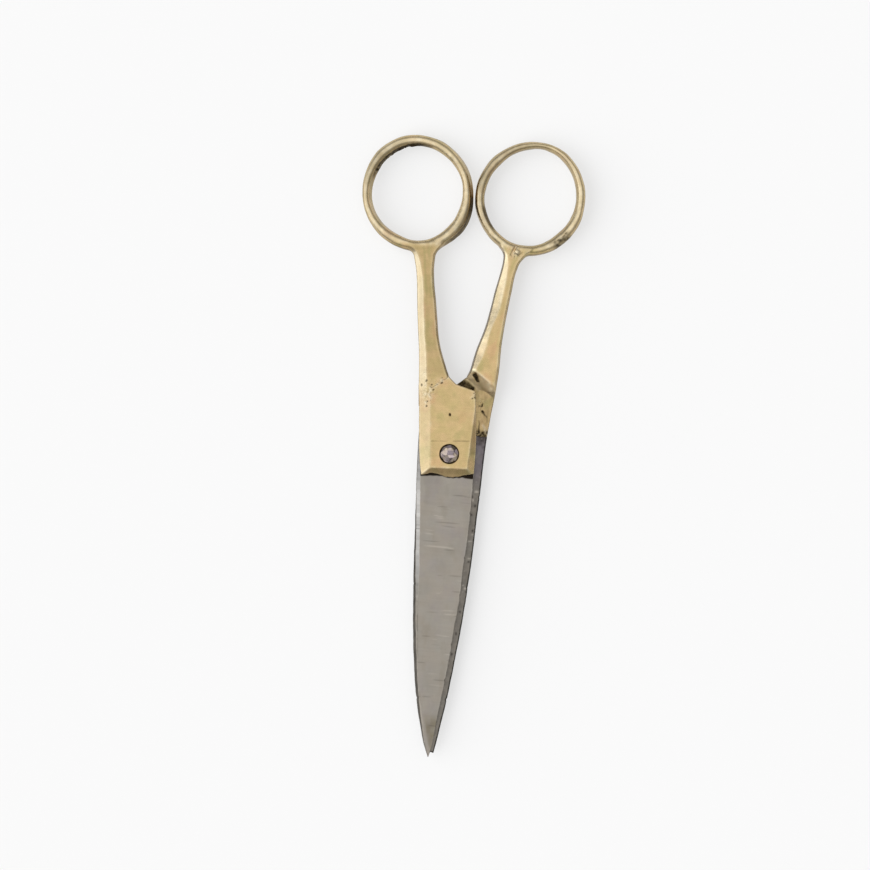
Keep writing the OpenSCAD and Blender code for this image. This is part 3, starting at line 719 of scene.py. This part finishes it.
def build_blade(cfg, name, back):
    sd = cfg["seed"]
    ys = axis_steps([(cfg["end"], -91.0, 0.12), (-91.0, 6.0, 0.2)])
    xe, xs = cfg["edge"](ys), cfg["spine"](ys)
    live = smooth(-4.0, -9.0, ys) * smooth(cfg["end"] - 0.5, cfg["end"] + 3, ys)
    xe = xe + live * (0.05 * line_noise(ys, 4.0, sd) + 0.035 * line_noise(ys, 1.1, sd + 1))
    xs = xs + live * (0.06 * line_noise(ys, 3.0, sd + 2) + 0.045 * line_noise(ys, 0.9, sd + 3))
    for y0, dep, wid in ((-75.5, 0.16, 0.35), (-40.6, 0.10, 0.4), (-12.6, 0.10, 0.4)):
        xe = xe + dep * np.exp(-((ys - y0) / wid) ** 2)
    for y0, dep, wid in ((-17.6, 0.22, 0.5), (-31.5, 0.20, 0.5), (-43.0, 0.18, 0.5), (-58.3, 0.16, 0.4), (-69.5, 0.25, 0.5)):
        xs = xs - dep * np.exp(-((ys - y0) / wid) ** 2)
    width = xs - xe
    thick = 1.97 - (1.97 - cfg["tip_thick"]) * smooth(-5, cfg["end"], ys) ** 1.0
    zi = np.full(len(ys), LAP_Z + GAP)
    zo = zi + thick
    bw = np.minimum(cfg["bevel"](ys) + live * (0.08 * line_noise(ys, 2.5, sd + 4) + 0.04 * line_noise(ys, 0.8, sd + 5)), 0.45 * width)
    ef = np.clip(cfg["facet"](ys) + live * 0.05 * line_noise(ys, 1.8, sd + 6), 0.03, 0.22 * width + 0.02)
    ef = np.minimum(ef, bw - 0.05)
    slope = np.interp(ys, [cfg["end"], -60, -20, 6], [0.75, 0.7, 0.62, 0.6])
    zm = np.maximum(zo - (bw - ef) * slope, zi + 0.45 * thick)
    ze = np.maximum(zm - ef * 1.6, zi + 0.12 * thick + 0.06)
    ic = 0.10 + 0.10 * live * (0.5 + 0.5 * line_noise(ys, 1.5, sd + 7))
    ic = np.minimum(ic, 0.2 * width)
    sc = np.minimum(0.20 + 0.06 * line_noise(ys, 1.6, sd + 8), 0.2 * width)
    corners = [(xe + ic, zi), (xe, zi + 0.5 * ic), (xe, ze), (xe + ef, zm), (xe + bw, zo), (xs - sc, zo),
               (xs, zo - 0.6 * sc), (xs, zi + 0.15), (xs - 0.12, zi)]
    parts = [1, 2, 3, 6, 52, 2, 3, 1, 56]
    rows = []
    for k, n in enumerate(parts):
        a, b = corners[k], corners[(k + 1) % len(corners)]
        for t in np.arange(n) / n:
            t = 1 - (1 - t) ** 1.5 if k == len(parts) - 1 else t
            rows.append(np.stack([a[0] + (b[0] - a[0]) * t, ys, a[1] + (b[1] - a[1]) * t], -1))
    grid = np.stack(rows, 1)                 # station, point, xyz
    # the tang goes on from the root, narrower
    m = grid.shape[1]
    for y0 in (6.0, 11.0, 15.95):
        f = np.clip((y0 - 4.0) / 12.0, 0, 1)
        lo, hi = -5.0 + 0.5 * f + 0.04, 4.0 - 1.5 * f - 0.04
        root = grid[len(ys) - 1]
        x = lo + (root[:, 0] - root[:, 0].min()) / np.ptp(root[:, 0]) * (hi - lo)
        z = 4.86 + (root[:, 2] - root[:, 2].min()) / np.ptp(root[:, 2]) * (5.97 - 4.86)
        grid = np.concatenate([grid, np.stack([x, np.full(m, y0), z], -1)[None]])
    s = len(grid)
    if cfg["blunt"]:
        # the point is worn off at a slant
        cutoff = grid[:, :, 1] < cfg["end"] + 1.2
        lean = np.clip((grid[:, :, 0] + 1.3) / 1.4, 0, 1) * 0.35
        grid[:, :, 1] += np.where(cutoff, lean * smooth(cfg["end"] + 1.2, cfg["end"], grid[:, :, 1]), 0)
    v = grid.reshape(-1, 3)
    i, j = np.meshgrid(np.arange(s - 1), np.arange(m), indexing="ij")
    j2 = (j + 1) % m
    quads = np.stack([i * m + j, i * m + j2, (i + 1) * m + j2, (i + 1) * m + j], -1).reshape(-1, 4)
    faces = [tuple(int(k) for k in r) for r in quads]
    faces.append(tuple(range(m))[::-1])
    faces.append(tuple((s - 1) * m + k for k in range(m)))
    e1, e2 = v[quads[:, 1]] - v[quads[:, 0]], v[quads[:, 2]] - v[quads[:, 0]]
    if (v[quads[:, 0]] * np.cross(e1, e2)).sum() < 0:
        faces = [r[::-1] for r in faces]
    # bore of the rivet
    ob = to_object(name, v, faces)
    cx = 2 * TURN_X if back else 0.0
    c = np.linspace(0, 2 * math.pi, 72, endpoint=False)
    tube = [(cx + cfg["bore"] * math.cos(t), cfg["bore"] * math.sin(t), z) for z in (2.0, 8.0) for t in c]
    n = len(c)
    tf = [(k, (k + 1) % n, n + (k + 1) % n, n + k) for k in range(n)] + [tuple(range(n))[::-1], tuple(range(n, 2 * n))]
    cutter = to_object("cutter", np.array(tube), tf, False)
    mod = ob.modifiers.new("bore", "BOOLEAN")
    mod.operation, mod.object, mod.solver = "DIFFERENCE", cutter, "EXACT"
    new = bpy.data.meshes.new_from_object(ob.evaluated_get(bpy.context.evaluated_depsgraph_get()))
    ob.modifiers.clear()
    old, ob.data = ob.data, new
    bpy.data.meshes.remove(old)
    bpy.data.objects.remove(cutter)
    # worn faces: slight waves and grinding marks, never towards the other half
    p = points_of(ob)
    y = p[:, 1]
    e, w_ = np.interp(y, ys, xe), np.interp(y, ys, xs)
    z_out, b_w, e_f = np.interp(y, ys, zo), np.interp(y, ys, bw), np.interp(y, ys, ef)
    from_edge, from_spine = p[:, 0] - e, w_ - p[:, 0]
    outer = (np.abs(p[:, 2] - z_out) < 0.02) & (from_edge > b_w - 0.02)
    inside = p[:, 2] < LAP_Z + GAP + 0.01
    free = smooth(-6.5, -8.5, y)
    q = np.c_[p[:, 0], y, p[:, 2] * 0 + (0 if not back else 40)]
    scratch = np.zeros(len(p))
    rng = np.random.default_rng(sd)
    marks = []
    for _ in range(30):
        y0 = rng.uniform(cfg["end"] + 8, -9)
        x0 = rng.uniform(-7, 6)
        marks.append((x0, y0, rng.uniform(1.0, 4.5), rng.uniform(-0.16, 0.10), rng.choice([-1, 1, -0.6, 0.7]), rng.uniform(0.09, 0.17)))
    if not back:
        marks += [(2.0, -12.6, 4.2, 0.02, -1.2, 0.14), (-2.5, -16.4, 3.2, 0.02, -0.9, 0.13), (-2.6, -21.2, 7.4, 0.02, -1.1, 0.14),
                  (-6.0, -27.2, 5.0, 0.02, -1.0, 0.14), (-5.6, -28.7, 9.0, -0.03, 1.2, 0.2), (0.6, -29.5, 3.0, -0.02, -1.0, 0.14),
                  (-4.0, -56.4, 2.4, 0.02, -1.0, 0.13), (-5.2, -64.6, 2.8, 0.02, -1.0, 0.14), (-9.3, -75.4, 1.8, 0.0, 1.6, 0.2)]
    for x0, y0, long, lean, sign, wide in marks:
        dd, t = segment_distance(p[:, 0], y, (x0, y0), (x0 + long, y0 + lean * long * 0.3))
        scratch += sign * np.exp(-(dd / wide) ** 2) * np.sqrt(np.clip(1 - (2 * t - 1) ** 2, 0.15, 1))
    dz = outer * free * (0.022 * fbm(q, (5, 9, 9), sd + 20) + 0.006 * noise(q, (7, 0.5, 9), sd + 21) + 0.02 * np.clip(scratch, -1.2, 0.4))
    dz += inside * free * (0.015 * (noise(q, (2, 3, 9), sd + 24) + 1) + 0.02 * smooth(0.4, 0.8, noise(q, 0.9, sd + 25)))
    dz += outer * free * 0.02 * -smooth(0.5, 0.8, noise(q, 0.8, sd + 26))
    p[:, 2] += dz
    # tones
    along = smooth(-8, cfg["end"], y)
    bevel = (from_edge <= b_w - 0.02) & ~inside
    cutting = bevel & (from_edge <= e_f + 0.01)
    tone = np.ones(len(p))
    tone += 0.08 * fbm(q, (4, 7, 9), sd + 30) + 0.013 * noise(q, (6, 0.55, 9), sd + 31) + 0.30 * np.clip(scratch, -1.3, 1.3)
    high = np.interp(y, [-93, -85, -70, -52, -44, -36, -30, -14, -10, -7], [1.0, 0.85, 0.80, 0.78, 0.78, 0.98, 1.32, 1.42, 1.18, 1.0])
    high = high * (1 + 0.16 * line_noise(y, 1.2, sd + 33) + 0.10 * line_noise(y, 0.5, sd + 34))
    tone = np.where(bevel, high, tone)
    ticks = smooth(0.45, 0.75, line_noise(y, 0.55, sd + 51)) * smooth(-0.2, 0.4, line_noise(y, 6.0, sd + 52)) * smooth(-45, -38, y)
    tone = np.where(bevel, tone * (1 - 0.45 * ticks), tone)
    tone = np.where(cutting, 0.22 + 0.12 * along + 0.08 * line_noise(y, 2.0, sd + 35), tone)
    # painted highlight along the spine's edge
    tone += 0.34 * smooth(0.45, 0.12, from_spine) * (p[:, 2] > z_out - 0.3) * (0.45 + 0.9 * line_noise(y, 2.6, sd + 36) + 0.4 * line_noise(y, 0.7, sd + 43))
    seam = np.exp(-((from_edge - b_w) / 0.12) ** 2) * (~inside) * smooth(-42, -52, y) * smooth(0.0, 0.4, line_noise(y, 5.0, sd + 37) + 0.35)
    if not back:
        seam = np.maximum(seam, 1.6 * np.exp(-((from_edge - b_w) / 0.14) ** 2) * smooth(-55.6, -54.8, y) * smooth(-49.4, -50.2, y) * ~inside)
    tone -= 0.3 * seam
    mott = fbm(q, (1.0, 1.5, 9), sd + 38)
    # the inner face: ground and rubbed bright, but tarnished and chipped where it shows beside the other blade
    strip = smooth(3.5, 2.5, from_edge + 0.4 * noise(q, (1.2, 2.5, 9), sd + 56))
    swing = np.hypot(p[:, 0] - (2 * TURN_X if back else 0.0), y)
    ground = 0.84 + 0.05 * fbm(q, (5, 9, 9), sd + 57) + 0.035 * noise(q, (9, 0.6, 9), sd + 58)
    ground = ground + 0.07 * smooth(26, 14, swing) * noise(np.c_[swing, swing * 0, swing * 0 + 5.5], (0.55, 1, 1), sd + 59)
    marks, ragged = np.zeros(len(p)), noise(q, (0.35, 0.35, 9), sd + 60)
    for cx_, cy_, sign, rx, ry in CHIPS:
        marks += sign * np.exp(-(((p[:, 0] - cx_ + 0.12 * ragged) / rx) ** 2 + ((y - cy_ + 0.12 * ragged) / ry) ** 2))
    chipped = 0.58 + 0.15 * mott + 0.2 * smooth(0.55, 0.85, noise(q, (0.8, 0.4, 9), sd + 39)) + np.where(marks > 0, 0.55, 0.45) * np.clip(marks, -1, 1)
    tone = np.where(inside, ground + (chipped - ground) * strip, tone)
    # painted shade: a dark rim along the inner face's edge
    rim_w = 0.36 + 0.10 * line_noise(y, 1.6, sd + 54) + 0.06 * line_noise(y, 0.5, sd + 55)
    tone = np.where(inside & (from_edge < 0.9), tone * (0.10 + 0.90 * smooth(rim_w - 0.08, rim_w + 0.14, from_edge)), tone)
    # painted shade on the spine's side
    side = (p[:, 2] < z_out - 0.3) & (from_spine < 0.1)
    tone = np.where(side, 0.6 + 0.15 * mott, tone)
    stain = smooth(-79, -84, y) * smooth(-92.5, -90, y) * smooth(1.0, 2.0, from_edge) * outer * (0.8 + 0.3 * noise(q, (1.2, 2.5, 9), sd + 41))
    stain = np.clip(stain + 0.22 * smooth(0.1, 0.7, fbm(q, (3.0, 6.0, 9), sd + 42)), 0, 1)
    cool = (bevel & ~cutting) * smooth(-48, -34, y)
    lilac = np.clip((inside if back else outer) * (smooth(-12, -3, y) * 0.8 if back else 0.2 * smooth(0.0, 0.6, fbm(q, (4, 6, 9), sd + 44)))
                    * (0.75 + 0.4 * fbm(q, (1.5, 3.0, 9), sd + 46)), 0, 1)
    grime_and_shade = np.zeros(len(p))
    if not back:
        # painted shadow on the steel below the bolster's edge
        rim = np.interp(p[:, 0], [-9, -8.2, -5.5, -3, -1.5, 0.5, 2.5, 4, 6, 7.9], [-7.5, -7.5, -7.2, -6.9, -7.05, -7.5, -7.3, -7.05, -7.2, -7.2])
        rim = rim + 0.15 * noise(q, (0.9, 9, 9), 45)
        grime_and_shade = outer * smooth(rim - 0.18, rim + 0.12, y) * smooth(-9.0, -8.2, p[:, 0])
    else:
        grime_and_shade = inside * smooth(2.0, 5.5, y + 1.4 * noise(q, (0.7, 0.9, 9), 47)) * (0.55 + 0.35 * noise(q, (0.5, 0.6, 9), 48))
    # painted shade on the worn-off end face
    end_cap = (y < cfg["end"] + 0.5) & (cfg["blunt"] > 0)
    grime_and_shade = np.clip(grime_and_shade + end_cap * 0.7, 0, 1)
    set_points(ob, turned(p) if back else p)
    ob.data.polygons.foreach_set("use_smooth", np.ones(len(ob.data.polygons), bool))
    ob.data.set_sharp_from_angle(angle=math.radians(18))
    for key, val in (("tone", np.clip(tone, 0.15, 2.2)), ("stain", stain), ("grime_and_shade", grime_and_shade), ("lilac", lilac), ("cool", cool)):
        set_attribute(ob, key, val)
    return ob


# --------------------------------------------------------------------- the rivet
def build_rivet():
    n = 120
    prof = [(0.0, 0.10), (0.6, 0.10), (1.2, 0.10), (1.8, 0.10), (2.4, 0.11), (2.75, 0.14), (2.85, 0.2), (2.6, 0.42), (2.3, 0.7),
            (2.0, 1.0), (2.0, 2.5), (2.0, 4.0), (2.0, 5.5), (2.0, 7.1), (2.0, 7.25), (2.4, 7.25), (2.72, 7.26), (2.80, 7.32),
            (2.83, 7.42), (2.81, 7.52)]
    for t in np.linspace(0, 1, 34):
        r = 2.78 * (1 - t)
        prof.append((r, 7.56 + 0.70 * (1 - (r / 2.83) ** 2.6)))
    prof = np.array(prof)
    a = np.linspace(0, 2 * math.pi, n, endpoint=False)
    body = prof[1:-1]
    v = np.stack([np.outer(body[:, 0], np.cos(a)), np.outer(body[:, 0], np.sin(a)), np.repeat(body[:, 1:2], n, 1)], -1)
    v = np.concatenate([v.reshape(-1, 3), [[0, 0, prof[0, 1]]], [[0, 0, prof[-1, 1]]]])
    m = len(body)
    faces = [(i * n + j, i * n + (j + 1) % n, (i + 1) * n + (j + 1) % n, (i + 1) * n + j) for i in range(m - 1) for j in range(n)]
    faces += [(m * n, (j + 1) % n, j) for j in range(n)]
    faces += [(m * n + 1, (m - 1) * n + j, (m - 1) * n + (j + 1) % n) for j in range(n)]
    rad = np.hypot(v[:, 0], v[:, 1])
    head = smooth(7.5, 7.6, v[:, 2])
    tail = v[:, 2] < 0.16
    # hammer blows: flats that meet in ridges
    rng = np.random.default_rng(12)
    z = v[:, 2].copy()
    seats = [(0.25, 1.0)] + [(1.25, 0.5 + 1.257 * k) for k in range(5)] + [(2.15, 0.2 + 0.785 * k) for k in range(8)]
    planes = []
    for r0, t in seats:
        r0, t = r0 + rng.uniform(-0.2, 0.2), t + rng.uniform(-0.25, 0.25)
        cx, cy = r0 * math.cos(t), r0 * math.sin(t)
        fall = 0.70 * 2.6 / 2.83 * (r0 / 2.83) ** 1.6
        gx, gy = -fall * math.cos(t) + rng.uniform(-0.1, 0.1), -fall * math.sin(t) + rng.uniform(-0.1, 0.1)
        planes.append(7.56 + 0.70 * (1 - (r0 / 2.83) ** 2.6) + rng.uniform(-0.07, 0.0) + gx * (v[:, 0] - cx) + gy * (v[:, 1] - cy))
    planes = np.array(planes)
    order = np.sort(planes, 0)
    which = planes.argmin(0)
    ridge = smooth(0.09, 0.0, order[1] - order[0]) * head
    z = z + head * np.minimum(order[0] - z, 0.06)
    dent = smooth(0.35, 0.7, noise(v, (0.75, 0.9, 1.5), 8))
    z += head * (0.014 * fbm(v, 0.7, 7) - 0.05 * dent)
    z += tail * (rad < 2.6) * 0.05 * (fbm(v, 0.9, 9) + 0.3)
    v[:, 2] = z
    rim = smooth(2.5, 2.83, rad) * (z > 7.3)
    v[:, :2] *= (1 + rim * (0.014 * noise(v, 1.1, 10) - 0.014))[:, None]
    ob = to_object("pivot_rivet_head", v, faces)
    # dark: dents, ridges and a dark patch, with painted shade on the head's side below its rim
    dark = np.clip(0.7 * dent + 0.3 * fbm(v, 0.9, 14) + 0.55 * ridge * smooth(-0.3, 0.3, noise(v, 0.8, 15))
                   + 0.6 * smooth(0.7, 0.1, np.hypot(v[:, 0] - 0.5, v[:, 1] + 1.5)) * head
                   + 0.8 * smooth(7.5, 7.3, z) * (rad > 2.3), 0, 1)
    own = rng.uniform(-1, 1, len(seats))[which] * head
    # painted highlight on the lower-left rim of the head
    painted_highlight_rim = head * smooth(1.7, 2.5, -0.8 * v[:, 0] - 0.6 * v[:, 1])
    set_attribute(ob, "dark", dark)
    set_attribute(ob, "tone", np.clip(0.95 + 0.58 * own + 0.85 * painted_highlight_rim, 0.3, 2.2))
    set_attribute(ob, "warm", np.clip(0.45 + 0.5 * rng.uniform(-1, 1, len(seats))[which] * head + 0.5 * painted_highlight_rim + 0.3 * noise(v, 0.8, 16), 0, 1))
    return ob


front_handle = build_handle(FRONT, False)
back_handle = build_handle(BACK, True)
front_blade = build_blade(FRONT_BLADE, "front_blade_steel", False)
back_blade = build_blade(BACK_BLADE, "back_blade_steel", True)
rivet = build_rivet()
for piece, node, half, finish in ((front_handle, "front_handle", "front_half", "cast_brass"),
                                  (back_handle, "back_handle", "back_half", "cast_brass"),
                                  (front_blade, "front_blade", "front_half", "blade_steel"),
                                  (back_blade, "back_blade", "back_half", "blade_steel"),
                                  (rivet, "pivot_rivet", "back_half", "rivet_steel")):
    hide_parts(node)
    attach(piece, half)


# ----------------------------------------------------------------------- finishes
class Graph:
    """Short forms for building a material's nodes."""

    def __init__(self, name):
        self.mat = bpy.data.materials.new(name)
        self.mat.use_nodes = True
        self.t = self.mat.node_tree
        self.bsdf = self.t.nodes["Principled BSDF"]
        self.obj = self.t.nodes.new("ShaderNodeTexCoord").outputs["Object"]

    def put(self, value, socket):
        if hasattr(value, "is_linked"):
            self.t.links.new(value, socket)
        else:
            socket.default_value = value

    def attr(self, name):
        n = self.t.nodes.new("ShaderNodeAttribute")
        n.attribute_name = name
        return n.outputs["Fac"]

    def math(self, op, a, b=0.5, c=0.0, clamp=False):
        n = self.t.nodes.new("ShaderNodeMath")
        n.operation = op
        n.use_clamp = clamp
        for s, v in zip(n.inputs, (a, b, c)):
            self.put(v, s)
        return n.outputs[0]

    def ramp(self, v, a, b, lo=0.0, hi=1.0):
        n = self.t.nodes.new("ShaderNodeMapRange")
        n.interpolation_type = "SMOOTHSTEP"
        for key, val in (("Value", v), ("From Min", a), ("From Max", b), ("To Min", lo), ("To Max", hi)):
            self.put(val, n.inputs[key])
        return n.outputs["Result"]

    def noise(self, size_mm, detail=3.0, rough=0.55, stretch=(1, 1, 1)):
        m = self.t.nodes.new("ShaderNodeMapping")
        m.inputs["Scale"].default_value = [1000.0 / (size_mm * k) for k in stretch]
        self.t.links.new(self.obj, m.inputs["Vector"])
        n = self.t.nodes.new("ShaderNodeTexNoise")
        n.inputs["Scale"].default_value = 1.0
        n.inputs["Detail"].default_value = detail
        n.inputs["Roughness"].default_value = rough
        self.t.links.new(m.outputs["Vector"], n.inputs["Vector"])
        return n.outputs["Fac"]

    def mix(self, fac, a, b, mode="MIX"):
        n = self.t.nodes.new("ShaderNodeMix")
        n.data_type = "RGBA"
        n.blend_type = mode
        self.put(fac, n.inputs["Factor"])
        self.put(a, n.inputs[6])
        self.put(b, n.inputs[7])
        return n.outputs[2]

    def grey(self, v):
        n = self.t.nodes.new("ShaderNodeCombineColor")
        for s in n.inputs:
            self.put(v, s)
        return n.outputs[0]

    def bump(self, height, depth_mm, under=None):
        n = self.t.nodes.new("ShaderNodeBump")
        n.inputs["Strength"].default_value = 1.0
        n.inputs["Distance"].default_value = depth_mm * MM
        self.put(height, n.inputs["Height"])
        if under is not None:
            self.t.links.new(under, n.inputs["Normal"])
        return n.outputs["Normal"]


def brass_material():
    g = Graph("aged_brass")
    dark, wall_shade, pale, tone, rust = (g.attr(k) for k in ("dark", "wall_shade", "pale", "tone", "rust"))
    big = g.noise(4.0, 3.0)
    fine = g.noise(0.55, 4.0, 0.6)
    file_marks = g.noise(0.28, 3.0, 0.6, (9, 1, 1))
    long_marks = g.noise(0.30, 3.0, 0.6, (1, 14, 1))
    c = g.mix(g.ramp(big, 0.35, 0.68), (0.585, 0.445, 0.210, 1), (0.665, 0.480, 0.245, 1))
    c = g.mix(g.ramp(rust, 0.15, 0.85, 0.0, 0.45), c, (0.66, 0.40, 0.22, 1))
    c = g.mix(g.ramp(rust, -0.15, -0.85, 0.0, 0.5), c, (0.45, 0.40, 0.17, 1))
    # pale: filed facets and wear, and painted highlights
    c = g.mix(pale, c, (0.62, 0.53, 0.365, 1))
    t = g.math("MULTIPLY", tone, g.ramp(fine, 0.3, 0.7, 0.965, 1.03))
    t = g.math("MULTIPLY", t, g.ramp(file_marks, 0.32, 0.68, 0.97, 1.03))
    c = g.mix(1.0, c, g.grey(t), "MULTIPLY")
    # painted shade: steep side walls mixed towards dark brown
    skin = g.math("ADD", g.math("MULTIPLY", big, 0.6), g.math("MULTIPLY", fine, 0.4))
    w = g.math("MULTIPLY", wall_shade, g.ramp(skin, 0.35, 0.65, 0.90, 0.66), clamp=True)
    c = g.mix(w, c, (0.15, 0.108, 0.05, 1))
    # dark: pits, dirt and scale, and painted shade in hollows, gaps and recesses
    d = g.math("MULTIPLY", dark, g.ramp(fine, 0.25, 0.6, 1.25, 0.9), clamp=True)
    # light flecks on the rough skin are painted glints
    grain = g.noise(0.34, 2.0, 0.5)
    rough_skin = g.attr("rough")
    c = g.mix(g.math("MULTIPLY", rough_skin, g.ramp(grain, 0.56, 0.66, 0.0, 0.8), clamp=True), c, (0.80, 0.70, 0.48, 1))
    d = g.math("MAXIMUM", d, g.math("MULTIPLY", rough_skin, g.ramp(grain, 0.42, 0.34, 0.0, 0.85), clamp=True))
    c = g.mix(d, c, (0.035, 0.024, 0.011, 1))
    g.put(c, g.bsdf.inputs["Base Color"])
    rough = g.math("ADD", g.ramp(fine, 0.3, 0.7, 0.22, 0.31), g.math("MULTIPLY", d, 0.3))
    rough = g.math("ADD", rough, g.math("MULTIPLY", g.attr("matte"), 0.36))
    g.put(rough, g.bsdf.inputs["Roughness"])
    g.bsdf.inputs["Metallic"].default_value = 1.0
    n = g.bump(file_marks, 0.010)
    n = g.bump(long_marks, 0.006, n)
    n = g.bump(fine, 0.014, n)
    n = g.bump(g.math("MULTIPLY", rough_skin, grain), 0.12, n)
    g.put(n, g.bsdf.inputs["Normal"])
    return g.mat


def steel_material():
    g = Graph("ground_steel")
    tone, stain, grime_and_shade = g.attr("tone"), g.attr("stain"), g.attr("grime_and_shade")
    cross = g.noise(0.30, 4.0, 0.6, (16, 1, 1))
    wide = g.noise(0.9, 3.0, 0.6, (9, 1, 1))
    cloud = g.noise(5.0, 3.0, 0.5)
    speck = g.noise(0.45, 3.0, 0.6)
    c = g.mix(g.ramp(cloud, 0.3, 0.7), (0.335, 0.300, 0.256, 1), (0.352, 0.325, 0.284, 1))
    c = g.mix(stain, c, (0.235, 0.205, 0.150, 1))
    c = g.mix(g.attr("cool"), c, (0.30, 0.292, 0.280, 1))
    c = g.mix(g.attr("lilac"), c, (0.285, 0.245, 0.285, 1))
    # tone carries a painted highlight on the spine and painted shade on the edges
    t = g.math("MULTIPLY", tone, g.ramp(cross, 0.3, 0.7, 0.99, 1.01))
    t = g.math("MULTIPLY", t, g.ramp(wide, 0.3, 0.7, 0.98, 1.02))
    t = g.math("MULTIPLY", t, g.ramp(speck, 0.62, 0.80, 1.0, 0.86))
    c = g.mix(1.0, c, g.grey(t), "MULTIPLY")
    # near black for scale and dirt, and for painted shadow below the bolster
    c = g.mix(grime_and_shade, c, (0.022, 0.016, 0.012, 1))
    g.put(c, g.bsdf.inputs["Base Color"])
    rough = g.math("ADD", g.ramp(cloud, 0.3, 0.7, 0.28, 0.38), g.math("MULTIPLY", grime_and_shade, 0.2))
    g.put(rough, g.bsdf.inputs["Roughness"])
    g.bsdf.inputs["Metallic"].default_value = 1.0
    n = g.bump(cross, 0.0019)
    n = g.bump(speck, 0.005, n)
    g.put(n, g.bsdf.inputs["Normal"])
    return g.mat


def rivet_material():
    g = Graph("hammered_steel")
    dark = g.attr("dark")
    speck = g.noise(0.5, 3.0, 0.6)
    cloud = g.noise(1.5, 3.0, 0.5)
    # warm and tone carry the painted highlight on the head's rim
    c = g.mix(g.attr("warm"), (0.40, 0.335, 0.37, 1), (0.45, 0.375, 0.285, 1))
    t = g.math("MULTIPLY", g.attr("tone"), g.ramp(cloud, 0.3, 0.7, 0.82, 1.15))
    c = g.mix(1.0, c, g.grey(t), "MULTIPLY")
    d = g.math("MULTIPLY", dark, g.ramp(speck, 0.25, 0.65, 1.1, 0.7), clamp=True)
    c = g.mix(d, c, (0.05, 0.036, 0.034, 1))
    g.put(c, g.bsdf.inputs["Base Color"])
    g.put(g.ramp(speck, 0.3, 0.7, 0.22, 0.34), g.bsdf.inputs["Roughness"])
    g.bsdf.inputs["Metallic"].default_value = 1.0
    g.put(g.bump(speck, 0.03), g.bsdf.inputs["Normal"])
    return g.mat


brass = brass_material()
steel = steel_material()
for o in (front_handle, back_handle):
    o.data.materials.clear()
    o.data.materials.append(brass)
for o in (front_blade, back_blade):
    o.data.materials.clear()
    o.data.materials.append(steel)
rivet.data.materials.append(rivet_material())

# -------------------------------------------------------------------------- stage
floor_me = bpy.data.meshes.new("floor")
floor_me.from_pydata([(-3, -3, -0.00005), (3, -3, -0.00005), (3, 3, -0.00005), (-3, 3, -0.00005)], [], [(0, 1, 2, 3)])
floor = bpy.data.objects.new("floor", floor_me)
bpy.context.scene.collection.objects.link(floor)
fm = bpy.data.materials.new("floor_white")
fm.use_nodes = True
fb = fm.node_tree.nodes["Principled BSDF"]
fb.inputs["Base Color"].default_value = (0.25, 0.25, 0.25, 1)
fb.inputs["Roughness"].default_value = 0.9
fb.inputs["Specular IOR Level"].default_value = 0.1
fb.inputs["Emission Color"].default_value = (1, 1, 1, 1)
fb.inputs["Emission Strength"].default_value = 0.6
floor_me.materials.append(fm)

# soft studio light all round, brighter from the left and from behind
world = bpy.data.worlds.new("studio")
bpy.context.scene.world = world
world.use_nodes = True
wt = world.node_tree
bg = wt.nodes["Background"]
bg.inputs["Color"].default_value = (1, 1, 1, 1)
sky = wt.nodes.new("ShaderNodeTexCoord").outputs["Generated"]


def wmath(op, a, b_):
    n = wt.nodes.new("ShaderNodeMath")
    n.operation = op
    for s, v in zip(n.inputs, (a, b_)):
        if isinstance(v, (int, float)):
            s.default_value = v
        else:
            wt.links.new(v, s)
    return n.outputs[0]


def towards(direction):
    n = wt.nodes.new("ShaderNodeVectorMath")
    n.operation = "DOT_PRODUCT"
    n.inputs[1].default_value = direction
    wt.links.new(sky, n.inputs[0])
    return n.outputs["Value"]


def lobe(direction, inner, outer, strength):
    r = wt.nodes.new("ShaderNodeMapRange")
    r.interpolation_type = "SMOOTHSTEP"
    r.inputs["From Min"].default_value = math.cos(math.radians(outer))
    r.inputs["From Max"].default_value = math.cos(math.radians(inner))
    r.inputs["To Min"].default_value = 0.0
    r.inputs["To Max"].default_value = strength
    wt.links.new(towards(Vector(direction).normalized()), r.inputs["Value"])
    return r.outputs["Result"]


light = wmath("ADD", lobe((-0.24, -0.05, 0.97), 20, 54, 0.58), 0.44)
light = wmath("ADD", light, lobe((-0.94, -0.13, 0.31), 6, 38, 0.95))
wt.links.new(light, bg.inputs["Strength"])

# a window on the left gives the floor its soft shadows
side_d = bpy.data.lights.new("window", "SUN")
side_d.energy = 3.8
side_d.angle = math.radians(80)
side = bpy.data.objects.new("window", side_d)
side.rotation_euler = Vector((-0.82, -0.06, 0.57)).to_track_quat("Z", "Y").to_euler()
side.visible_glossy = False
bpy.context.scene.collection.objects.link(side)

# camera straight above, turned as the photograph is
H = 0.9
cam_d = bpy.data.cameras.new("camera")
cam = bpy.data.objects.new("camera", cam_d)
bpy.context.scene.collection.objects.link(cam)
cam.location = (-4.9 * MM, 5.4 * MM, H + 0.006)
cam.rotation_euler = (0, 0, math.radians(4.5))
cam_d.sensor_fit = "HORIZONTAL"
cam_d.sensor_width = 36
cam_d.lens = 36 * H / (870 * 0.307 * MM)
cam_d.clip_end = 20
bpy.context.scene.camera = cam
bpy.context.scene.view_settings.view_transform = "Standard"
